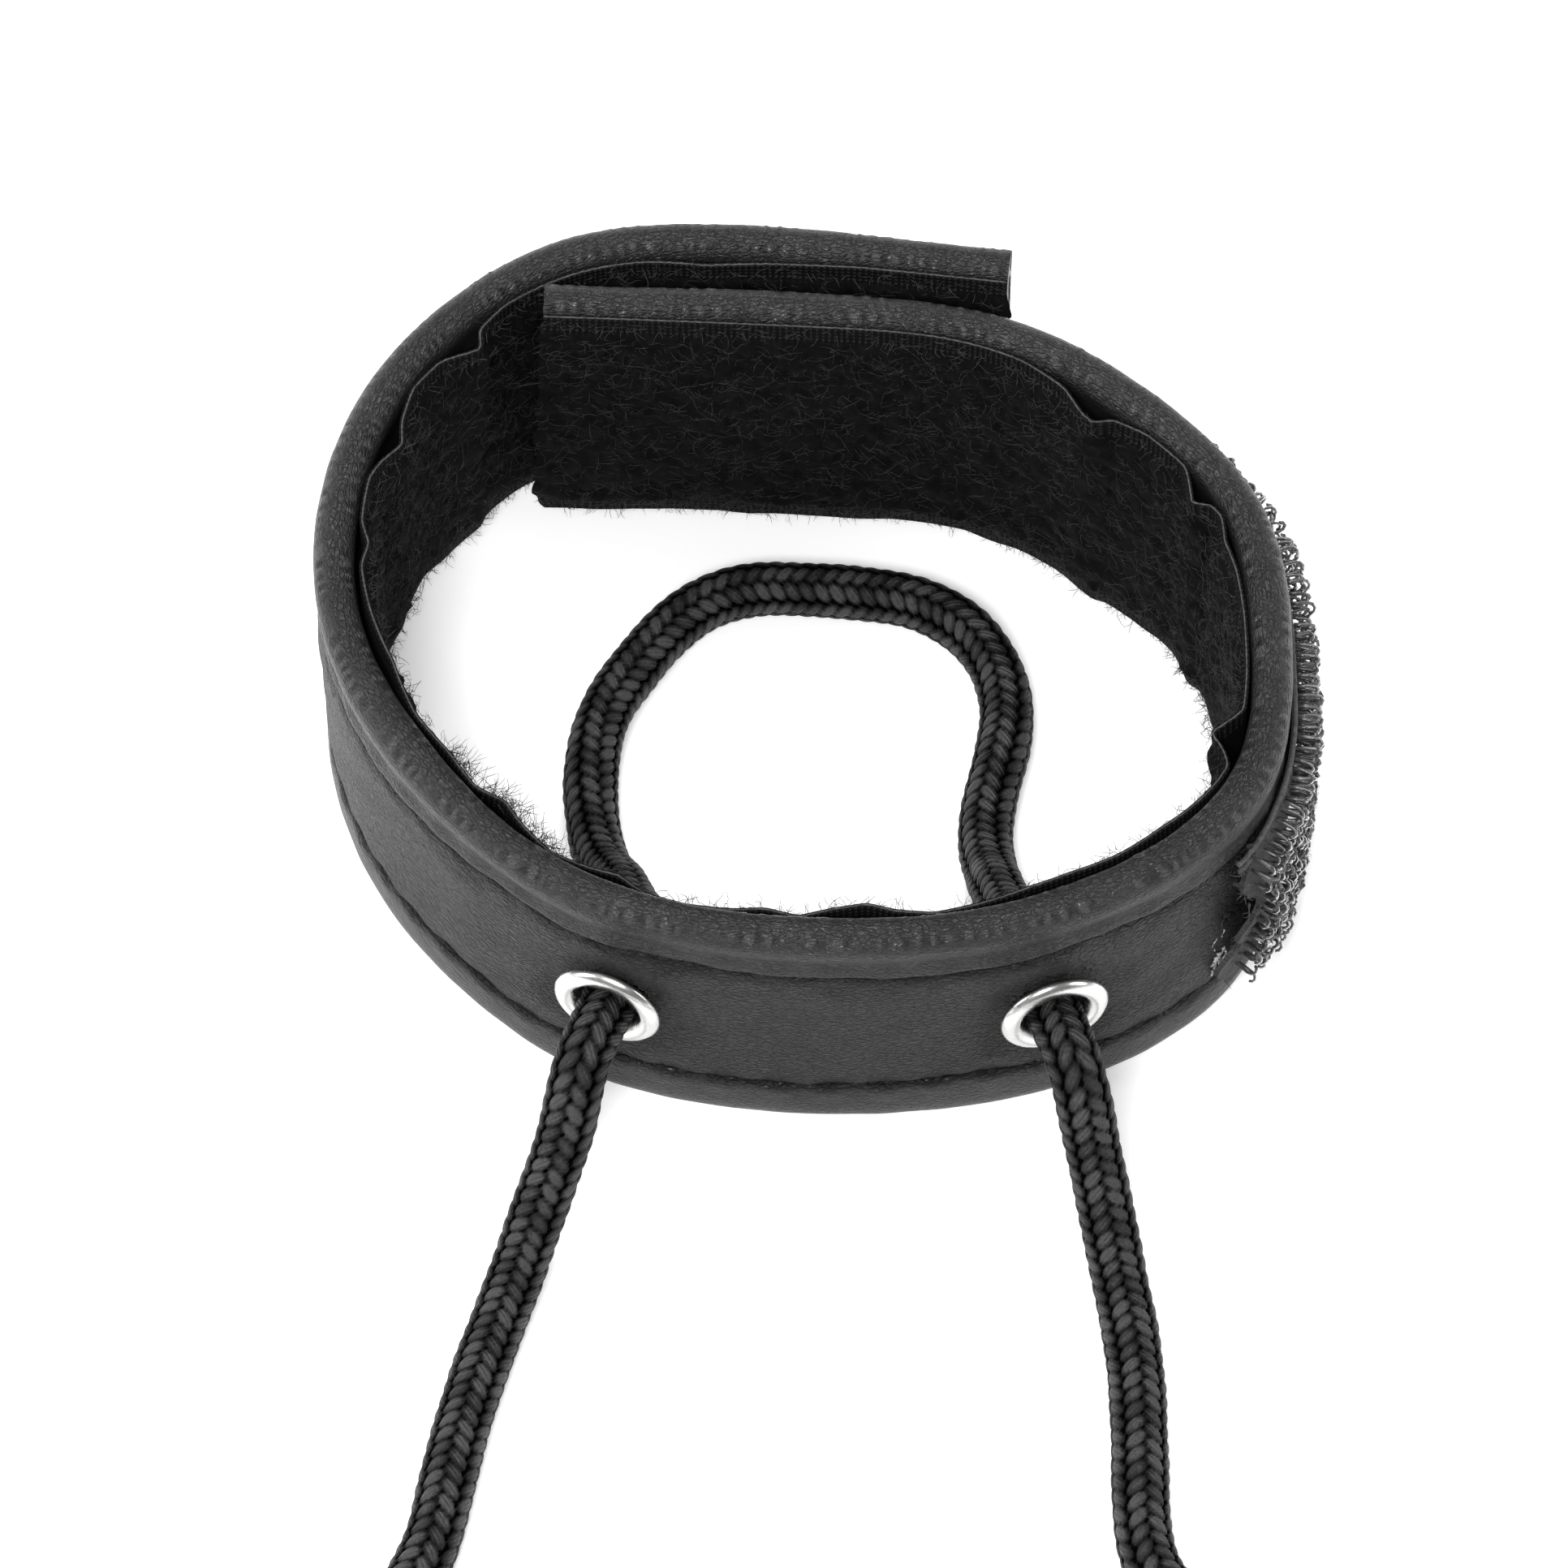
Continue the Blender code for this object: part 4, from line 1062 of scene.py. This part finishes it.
# %% Line the strip
LINING_STEP, LINING_ROWS = 0.45 * mm, 58
rng = np.random.default_rng(3)
tuft_phase = rng.uniform(0, math.tau, 24)
tuft_ways = rng.normal(0, 1, (24, 2)) / (1.1 * mm)


def pile_bumps(s, height):
    """Uneven tufts of the pile, from -1 to 1."""
    waves = [np.sin(a * s * 2.2 + b * height * 2.2 + phase)
             for (a, b), phase in zip(tuft_ways, tuft_phase)]
    return np.clip(sum(waves) / 4, -1, 1)


def lining_zone(zone):
    start, end = ZONES[zone][:2]
    piece, s, share = strip_grid(f"lining_{zone}", start, end, LINING_STEP, LINING_ROWS)
    height = LINING_LOW + share * (lining_top(s) - LINING_LOW)
    offset = lining_offset(s, height)
    set_places(piece.data, on_strip(s, offset, height))
    set_uv(piece.data, np.column_stack((s, LINING_LOW + share * (LINING_HIGH - LINING_LOW))))
    face_out(piece, (start + end) / 2, -1)
    remove_round(piece, s, height, EYELET_HOLE)
    body = piece.modifiers.new("tape thickness", "SOLIDIFY")
    body.thickness = LINING_THICKNESS * 0.55
    body.offset = 1
    apply_modifiers(piece)
    mesh = piece.data
    places = get_places(mesh)
    normals = np.empty(len(mesh.vertices) * 3, np.float32)
    mesh.vertex_normals.foreach_get("vector", normals)
    uv = np.zeros((len(mesh.vertices), 2))
    corner = np.empty(len(mesh.loops), np.int32)
    mesh.loops.foreach_get("vertex_index", corner)
    flat = np.empty(len(mesh.loops) * 2, np.float32)
    mesh.uv_layers["UVMap"].data.foreach_get("uv", flat)
    uv[corner] = flat.reshape(-1, 2)
    normals = normals.reshape(-1, 3)
    inwards = -np.einsum("ij,ij->i", normals, on_strip(uv[:, 0], 1.0, 0) - on_strip(uv[:, 0], 0, 0))
    inner = inwards > 0.3
    from_edge = np.minimum(uv[:, 1] - LINING_LOW, LINING_HIGH - uv[:, 1])
    pile = smooth_step(from_edge, 1.6 * mm, 2.6 * mm) * inner
    raised = pile * (0.55 * mm + 0.28 * mm * pile_bumps(uv[:, 0], uv[:, 1]))
    set_places(mesh, places + normals * raised[:, None])
    mesh.materials.append(LOOP_TAPE)
    mesh.shade_smooth()
    mesh.set_sharp_from_angle(angle=math.radians(70))
    return piece


for zone in ZONES:
    lining = lining_zone(zone)
    bend_with(lining, zone)
    takes_place(zone, "lining")
    print(lining.name, "faces:", len(lining.data.polygons))

# %% [markdown]
# ### Threads and fibres
#
# The pale edge thread, the pile's stray fibres and the stitches are all fine round threads.  They
# are thousands, so each has only a few sides, and one helper draws any number of them at once.

# %% Fine threads
def threads(name, lines, radius, sides, material, taper=False):
    """Closed round threads along many lines (count, points, xyz), as one mesh."""
    lines = np.asarray(lines, float)
    count, length, _ = lines.shape
    tangent = np.gradient(lines, axis=1)
    tangent /= np.linalg.norm(tangent, axis=2)[..., None] + 1e-12
    rough = np.where(np.abs(tangent[..., 2:3]) < 0.9, (0.0, 0.0, 1.0), (1.0, 0.0, 0.0))
    side = np.cross(tangent, rough)
    side /= np.linalg.norm(side, axis=2)[..., None] + 1e-12
    other = np.cross(tangent, side)
    angle = np.linspace(0, math.tau, sides, endpoint=False)
    size = np.broadcast_to(np.asarray(radius, float), (count,))[:, None, None, None]
    if taper:
        size = size * (0.35 + 0.65 * np.sin(np.linspace(0.25, 2.9, length)))[None, :, None, None]
    ring = (np.cos(angle)[None, None, :, None] * side[:, :, None]
            + np.sin(angle)[None, None, :, None] * other[:, :, None]) * size
    places = (lines[:, :, None] + ring).reshape(-1, 3)
    one = grid_faces(length, sides, closed=True)
    one += [tuple(range(sides))[::-1], tuple(range((length - 1) * sides, length * sides))]
    faces = []
    for i in range(count):
        shift = i * length * sides
        faces += [tuple(v + shift for v in face) for face in one]
    return mesh_piece(name, places, faces, material)


for zone, (start, end, *_) in ZONES.items():
    steps = np.arange(start, end + 0.3 * mm, 0.5 * mm)
    steps[-1] = end
    lines = []
    for height in (lining_top(steps), np.full_like(steps, LINING_LOW)):
        sway = 0.05 * mm * np.sin(math.tau * steps / (0.9 * mm))
        offset = lining_offset(steps, height) - 0.25 * mm
        lines.append(on_strip(steps, offset, height + sway))
    edge = threads(f"edge_thread_{zone}", lines, 0.09 * mm, 6, TAPE_EDGE)
    bend_with(edge, zone)


# %% [markdown]
# Stray fibres of the pile curl off its face, most of them sideways, and a fuzz of small loops
# hangs over the tape's lower edge.

# %% Pile fibres
def curl(rng, start, way, length, points, curliness):
    """A fibre that starts one way and bends at random as it goes."""
    bend = rng.normal(0, curliness, (points, 3))
    bend = np.cumsum(bend, axis=0) * 0.6 + rng.normal(0, curliness, 3) * np.linspace(
        0, 2.2, points)[:, None]
    steps = way + bend
    steps /= np.linalg.norm(steps, axis=1)[:, None]
    line = start + np.vstack((np.zeros(3), np.cumsum(steps[:-1], axis=0))) * length / points
    return line


def pile_zone(zone, seed):
    start, end = ZONES[zone][:2]
    rng = np.random.default_rng(seed)
    face = LINING_THICKNESS * 0.55 + 0.62 * mm
    lines = []
    count = int((end - start) / mm * 33)
    s = rng.uniform(start, end, count)
    h = rng.uniform(LINING_LOW + 1.6 * mm, lining_top(s) - 1.8 * mm, count)
    base = on_strip(s, lining_offset(s, h) - face, h)
    _, way = along(STRIP, s + FRONT_AT)
    out = np.stack((-way[:, 1], way[:, 0], np.zeros(count)), 1)
    for i in range(count):
        if any(np.hypot(s[i] - at, h[i] - MID_HEIGHT) < 7 * mm for at in EYELETS.values()):
            continue
        turn = rng.choice((-1, 1)) * rng.uniform(0.1, 1.0)
        heading = np.array((*(way[i] * turn), rng.normal(0, 0.45)))
        line = curl(rng, base[i], heading - 0.12 * out[i], rng.uniform(1.3, 3.6) * mm, 9, 0.45)
        depth = np.einsum("ij,j->i", line - base[i], out[i])
        lines.append(line - np.clip(depth, 0, None)[:, None] * out[i]
                     - np.clip(depth + 0.7 * mm, None, 0)[:, None] * out[i])
    hair = rng.uniform(0.016, 0.030, len(lines)) * mm
    return threads(f"pile_{zone}", lines, hair, 3, PILE_FIBRE, taper=True)


WORN_EDGE = (26 * mm, 42 * mm)


def fuzz_zone(zone, seed):
    """Loops and hairs along the tape's two edges, thickest where the top edge is worn."""
    start, end = ZONES[zone][:2]
    rng = np.random.default_rng(seed)
    lines = []
    for down, dense, low, high in ((-1, 7.0, start, end), (1, 3.0, start, end),
                                   (1, 16.0, *WORN_EDGE)):
        low = max(low, start)
        high = max(min(high, end), low)
        count = int((high - low) / mm * dense)
        s = rng.uniform(low, high, count)
        edge = LINING_LOW + 2.0 * mm if down < 0 else lining_top(s) - 0.7 * mm
        h = edge + rng.uniform(-0.9, 0.5, count) * mm
        base = on_strip(s, lining_offset(s, h) - LINING_THICKNESS * 0.8, h)
        _, way = along(STRIP, s + FRONT_AT)
        out = np.stack((-way[:, 1], way[:, 0], np.zeros(count)), 1)
        for i in range(count):
            lean = np.array((*(way[i] * rng.normal(0, 0.8)), down * rng.uniform(0.1, 0.8)))
            size = rng.uniform(0.8, 2.2 if dense < 10 else 3.2) * mm
            line = curl(rng, base[i], lean - out[i] * rng.uniform(0.4, 1.0), size, 9, 0.55)
            line[:, 2] = np.clip(line[:, 2], 0.4 * mm, None)
            lines.append(line)
    return threads(f"fuzz_{zone}", lines, 0.028 * mm, 3, PILE_FIBRE, taper=True)


for number, zone in enumerate(ZONES):
    for made in (pile_zone(zone, 50 + number), fuzz_zone(zone, 60 + number)):
        bend_with(made, zone)
        print(made.name, "faces:", len(made.data.polygons))

# %% [markdown]
# ## Seams
#
# The stitches lie sunk in the creases beside the rolls.  Each is a short bead of waxed thread that
# dives into the leather at both ends.

# %% Stitches
WAXED_THREAD = thread_finish("waxed_thread", 0.010, 0.05)
STITCH_LENGTH, STITCH_RADIUS = 2.6 * mm, 0.19 * mm
TOP_SEAM, BOTTOM_SEAM = 25.80 * mm, 6.28 * mm


def stitch_zone(zone):
    start, end = ZONES[zone][:2]
    first = math.ceil((start + STITCH_LENGTH / 2) / STITCH_PITCH)
    last = math.floor((end - STITCH_LENGTH / 2) / STITCH_PITCH)
    lines = []
    for number in range(first, last + 1):
        s = number * STITCH_PITCH + np.linspace(-0.5, 0.5, 7) * STITCH_LENGTH
        if abs(number * STITCH_PITCH - DIMPLE_AT) < 3 * mm:
            continue
        dive = 1.16 * mm - 0.5 * mm * np.abs(np.linspace(-1, 1, 7)) ** 3
        for upper in (True, False):
            height = (TOP_SEAM if upper else BOTTOM_SEAM) + seam_wander(s, upper)
            lines.append(on_strip(s, dive, height))
    return threads(f"stitches_{zone}", lines, STITCH_RADIUS, 6, WAXED_THREAD)


for zone in ZONES:
    stitches = stitch_zone(zone)
    bend_with(stitches, zone)
    takes_place(zone, "top_thread")
    takes_place(zone, "bottom_thread")
print("stitch pitch, mm:", STITCH_PITCH / mm)

# %% [markdown]
# ## The hook tape
#
# Hook tape, 20 mm wide, is glued and sewn to the outside from just behind the right eyelet to the
# inner tail's end.  Its front end has come a little unglued.  The tape is a thin woven ground with
# rows of nylon hooks: each is a stiff bent hair that stands up, turns over and points back down.
# One hook is modelled and then copied along the rows, no two quite alike.

# %% Hook tape sizes and materials
HOOK_START, HOOK_END = -35.6 * mm, TAIL_END + 6 * mm
HOOK_WIDTH = 20 * mm
HOOK_GROUND = 0.5 * mm
HOOK_PITCH, HOOK_ROW = 1.0 * mm, 0.87 * mm
UNGLUED = 7 * mm


def hook_ground_finish():
    made, tree, shader = new_material("hook_ground")
    place = stretched_uv(tree, 1, 1)
    weave = tree.nodes.new("ShaderNodeTexBrick")
    weave.inputs["Scale"].default_value = 900
    weave.inputs["Color1"].default_value = (0.9, 0.9, 0.9, 1)
    weave.inputs["Color2"].default_value = (0.6, 0.6, 0.6, 1)
    weave.inputs["Mortar"].default_value = (0, 0, 0, 1)
    tree.links.new(place, weave.inputs["Vector"])
    fleck = noise(tree, place, 2200, 4, 0.7)
    shade = maths(tree, "MULTIPLY", weave.outputs["Color"], fleck)
    link_nodes(tree, (ramp(tree, shade, (0.1, 0.010), (0.5, 0.055), (0.8, 0.11)),
                      shader.inputs["Base Color"]),
               (bump(tree, shade, 0.12 * mm, 0.9), shader.inputs["Normal"]))
    set_finish(shader, rough=0.7, spec=0.3)
    return made


def nylon_finish():
    made, tree, shader = new_material("hook_nylon")
    haze = noise(tree, object_place(tree), 900, 3)
    link_nodes(tree, (ramp(tree, haze, (0.3, 0.03), (0.7, 0.16)), shader.inputs["Base Color"]))
    shader.inputs["Transmission Weight"].default_value = 0.45
    set_finish(shader, rough=0.25, spec=0.7)
    return made


HOOK_GROUND_FINISH = hook_ground_finish()
NYLON = nylon_finish()


def ground_offset(s, height):
    """Outer face of the leather under the tape, plus the lift of the unglued end."""
    lifted = smooth_step(s, HOOK_START - UNGLUED, HOOK_START) * 1.9 * mm
    gape = 0.5 + 0.5 * np.cos((height - 18 * mm) / HOOK_WIDTH * math.tau)
    return 2.16 * mm + lifted * (0.12 + 0.88 * gape) + wander(s, 19, (15 * mm, 0.05 * mm))


# %% Hook tape ground
hook_ground, s, share = strip_grid("hook_tape", HOOK_END, HOOK_START, 0.5 * mm, 46)
height = MID_HEIGHT + (share - 0.5) * HOOK_WIDTH
ragged = smooth_step(s, HOOK_START - 2 * mm, HOOK_START)
end_slope = ragged * (0.9 * mm * np.sin(height * 900) - 1.6 * mm * (share - 0.3))
set_places(hook_ground.data, on_strip(s + end_slope, ground_offset(s, height), height))
set_uv(hook_ground.data, np.column_stack((s, height)))
face_out(hook_ground, (HOOK_START + HOOK_END) / 2)
body = hook_ground.modifiers.new("tape thickness", "SOLIDIFY")
body.thickness = HOOK_GROUND
body.offset = 1
apply_modifiers(hook_ground)
hook_ground.data.materials.append(HOOK_GROUND_FINISH)
hook_ground.data.shade_smooth()
hook_ground.data.set_sharp_from_angle(angle=math.radians(60))
bend_with(hook_ground, "tail")
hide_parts("right_side_hook_tape", "inner_tail_hook_tape")
print("hook tape, mm:", round((HOOK_START - HOOK_END) / mm, 1), "by", HOOK_WIDTH / mm)

selvage_lines = []
steps = np.linspace(HOOK_END, HOOK_START, 240)
for edge, sway_phase in ((0.5, 0.0), (-0.5, 2.0), (0.455, 4.0), (-0.455, 1.0)):
    height = MID_HEIGHT + edge * HOOK_WIDTH + 0.07 * mm * np.sin(steps * 5200 + sway_phase)
    offset = ground_offset(steps, height) + HOOK_GROUND * 0.6
    selvage_lines.append(on_strip(steps, offset, height))
selvage = threads("hook_tape_selvage", selvage_lines, 0.24 * mm, 7, EDGE_THREAD)
bend_with(selvage, "tail")


# %% [markdown]
# The one hook starts as a small five-sided ring.  Its face is extruded upwards a step at a time,
# and each step turns a little more, until the tip points back at the ground.

# %% Model one hook
HOOK_BENDS = ((0.0, 0.75), (0.12, 0.60), (0.50, 0.36), (0.85, 0.32), (0.95, 0.30), (0.7, 0.28))


def model_hook():
    """Places and faces of a hook, from its bends: a turn in radians and a step in mm."""
    deselect()
    bpy.ops.mesh.primitive_circle_add(vertices=5, radius=0.13 * mm, fill_type="NGON")
    hook = bpy.context.object
    bpy.ops.object.mode_set(mode="EDIT")
    bpy.ops.mesh.select_all(action="SELECT")
    heading, at = 0.0, Vector((0, 0, 0))
    for turn, step in HOOK_BENDS:
        middle_turn = heading + turn / 2
        move = Vector((math.sin(middle_turn), 0, math.cos(middle_turn))) * step * mm
        bpy.ops.mesh.extrude_region_move(TRANSFORM_OT_translate={"value": move})
        at += move
        bpy.ops.transform.rotate(value=-turn, orient_axis="Y", center_override=at)
        heading += turn
    bpy.ops.mesh.select_all(action="SELECT")
    bpy.ops.mesh.normals_make_consistent(inside=False)
    bpy.ops.object.mode_set(mode="OBJECT")
    places = get_places(hook.data)
    faces = [tuple(f.vertices) for f in hook.data.polygons]
    bpy.data.objects.remove(hook, do_unlink=True)
    return places, faces


hook_places, hook_faces = model_hook()
print("hook height, mm:", round(float(hook_places[:, 2].max()) / mm, 2), "faces:", len(hook_faces))

# %% Copy the hooks along the tape
rng = np.random.default_rng(77)
all_places, all_faces = [], []
rows = int(HOOK_WIDTH / HOOK_ROW) - 1
for row in range(rows):
    level = MID_HEIGHT - HOOK_WIDTH / 2 + 1.0 * mm + row * (HOOK_WIDTH - 2.0 * mm) / (rows - 1)
    shift = (row % 2) * HOOK_PITCH / 2
    for s in np.arange(HOOK_END + 0.8 * mm + shift, HOOK_START - 0.9 * mm, HOOK_PITCH):
        s = s + rng.normal(0, 0.10) * mm
        h = level + rng.normal(0, 0.10) * mm
        if rng.random() < 0.06:
            continue
        root = strip_place(s, float(ground_offset(np.array(s), h)) + HOOK_GROUND * 0.8, h)
        out = outward_at(s)
        ahead = Vector((-out.y, out.x, 0)) * (1 if row % 2 else -1)
        twist = Matrix.Rotation(rng.normal(0.5, 0.55), 3, out)
        lean = Matrix.Rotation(rng.normal(0, 0.16), 3, "Z")
        basis = Matrix((ahead, Vector((0, 0, 1)), out)).transposed()
        deep = 0.7 if s < TAIL_FOLD - 4 * mm else 1.22
        size = rng.uniform(0.86, 1.12) * deep
        turn = np.array(lean @ twist @ basis) * size
        start = len(all_places) * len(hook_places)
        all_places.append(hook_places @ turn.T + np.array(root))
        all_faces += [tuple(v + start for v in face) for face in hook_faces]
hooks = mesh_piece("hooks", np.vstack(all_places), all_faces, NYLON)
bend_with(hooks, "tail")
print("hooks:", len(all_places))

# %% [markdown]
# At the tape's lifted front end the weave frays into loose yarns, and pale flecks of dried glue
# are left on the leather beside it.

# %% Frayed end and glue
def glue_finish():
    made, tree, shader = new_material("dried_glue")
    patch = noise(tree, object_place(tree), 1500, 4, 0.7)
    link_nodes(tree, (ramp(tree, patch, (0.3, 0.16), (0.7, 0.60)), shader.inputs["Base Color"]),
               (bump(tree, patch, 0.1 * mm, 0.8), shader.inputs["Normal"]))
    set_finish(shader, rough=0.4, spec=0.5)
    return made


FRAYED_YARNS, GLUE_FLECKS = 70, 26
rng = np.random.default_rng(5)
fray_lines = []
for _ in range(FRAYED_YARNS):
    h = MID_HEIGHT + rng.uniform(-0.5, 0.5) * HOOK_WIDTH
    start = np.array(strip_place(HOOK_START - 0.5 * mm,
                                 float(ground_offset(np.array(HOOK_START), h)) + 0.2 * mm, h))
    out = np.array(outward_at(HOOK_START))
    ahead = np.array((-out[1], out[0], 0)) * -1
    way = ahead * rng.uniform(0.3, 1) + out * rng.normal(0.1, 0.35) + (0, 0, rng.normal(0, 0.5))
    fray_lines.append(curl(rng, start, way, rng.uniform(0.6, 1.9) * mm, 8, 0.4))
fray = threads("frayed_yarns", fray_lines, 0.045 * mm, 4, EDGE_THREAD, taper=True)
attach(fray, "right_side")

glue_lines = []
for _ in range(GLUE_FLECKS):
    s0 = HOOK_START + rng.uniform(-0.4, 1.3) * mm
    h0 = 7.5 * mm + abs(rng.normal(0, 2.4)) * mm
    s = s0 + np.cumsum(rng.normal(0, 0.12, 5)) * mm
    h = h0 + np.linspace(0, rng.uniform(0.3, 1.1), 5) * mm
    glue_lines.append(on_strip(s, 2.05 * mm + rng.uniform(0, 0.12) * mm, h))
glue = threads("glue_flecks", glue_lines, rng.uniform(0.04, 0.13, GLUE_FLECKS) * mm, 5, glue_finish())
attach(glue, "right_side")

# %% [markdown]
# ## The eyelets
#
# Each eyelet is pressed from one thin plate of nickelled brass: a rounded flange in front, a mouth
# that rolls inwards, and a barrel that is flared over a washer behind.  Its half outline is drawn
# point by point with extrude and spun round the axis.

# %% Nickel
def nickel_finish():
    made, tree, shader = new_material("nickel")
    place = object_place(tree)
    haze = noise(tree, place, 500, 4, 0.6)
    link_nodes(tree, (ramp(tree, haze, (0.3, 0.22), (0.7, 0.32)), shader.inputs["Roughness"]),
               (bump(tree, noise(tree, place, 2500, 3), 0.01 * mm, 0.3),
                shader.inputs["Normal"]))
    set_finish(shader, base=(0.62, 0.62, 0.61), metal=1.0)
    return made


NICKEL = nickel_finish()


# %% Spin an outline
def turned(name, outline, centre, axis, material):
    """A closed (radius, rise) outline in mm, spun round the axis through centre."""
    deselect()
    bpy.ops.mesh.primitive_plane_add(size=mm)
    piece = bpy.context.object
    piece.name = name
    bpy.ops.object.mode_set(mode="EDIT")
    bpy.ops.mesh.select_all(action="SELECT")
    bpy.ops.mesh.merge(type="CENTER")
    bpy.ops.transform.translate(value=(outline[0][0] * mm, 0, outline[0][1] * mm))
    for (r0, z0), (r1, z1) in zip(outline, outline[1:] + outline[:1]):
        bpy.ops.mesh.extrude_region_move(
            TRANSFORM_OT_translate={"value": ((r1 - r0) * mm, 0, (z1 - z0) * mm)})
    bpy.ops.mesh.select_all(action="SELECT")
    bpy.ops.mesh.spin(steps=72, angle=math.tau, center=(0, 0, 0), axis=(0, 0, 1))
    bpy.ops.mesh.select_all(action="SELECT")
    bpy.ops.mesh.remove_doubles(threshold=0.002 * mm)
    bpy.ops.mesh.normals_make_consistent(inside=False)
    bpy.ops.object.mode_set(mode="OBJECT")
    turn = Vector(axis).to_track_quat("Z", "Y").to_matrix().to_4x4()
    piece.data.transform(Matrix.Translation(centre) @ turn)
    piece.data.name = name
    piece.data.materials.append(material)
    piece.data.shade_smooth()
    piece.data.set_sharp_from_angle(angle=math.radians(50))
    return piece


EYELET_OUTLINE = [
    (2.9, -6.2), (3.3, -6.35), (3.9, -6.25), (4.1, -6.05), (3.9, -5.95), (3.4, -5.95),
    (3.3, -5.75), (3.3, 0.25), (4.7, 0.25), (4.95, 0.35), (5.02, 0.55), (4.95, 0.80),
    (4.75, 1.05), (4.45, 1.25), (4.1, 1.36), (3.75, 1.34), (3.45, 1.18), (3.25, 0.92),
    (3.12, 0.55), (3.02, 0.0), (2.9, -0.8)]
WASHER_OUTLINE = [(3.45, -5.9), (4.9, -5.9), (5.0, -5.8), (4.9, -5.55), (4.2, -5.42),
                  (3.45, -5.5)]
PANEL_OFFSET = 1.75 * mm
for side, at in EYELETS.items():
    centre, axis = strip_place(at, PANEL_OFFSET), outward_at(at)
    eyelet = turned(f"eyelet_{side}_metal", EYELET_OUTLINE, centre, axis, NICKEL)
    washer = turned(f"washer_{side}_metal", WASHER_OUTLINE, centre, axis, NICKEL)
    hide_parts(f"eyelet_{side}")
    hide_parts(f"eyelet_washer_{side}")
    for made in (eyelet, washer):
        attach(made, "front")
    print(eyelet.name, "faces:", len(eyelet.data.polygons))

# %% [markdown]
# ## Finish
#
# How far the finished model reaches past the frame at each end of each axis is printed last.

# %% Write the sizes and finish
new_low, new_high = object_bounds()
for axis_name, low, high, new_l, new_h in zip("xyz", cad_low, cad_high, new_low, new_high):
    print(axis_name, "grows by, mm:", round((low - new_l) / mm, 2), round((new_h - high) / mm, 2))
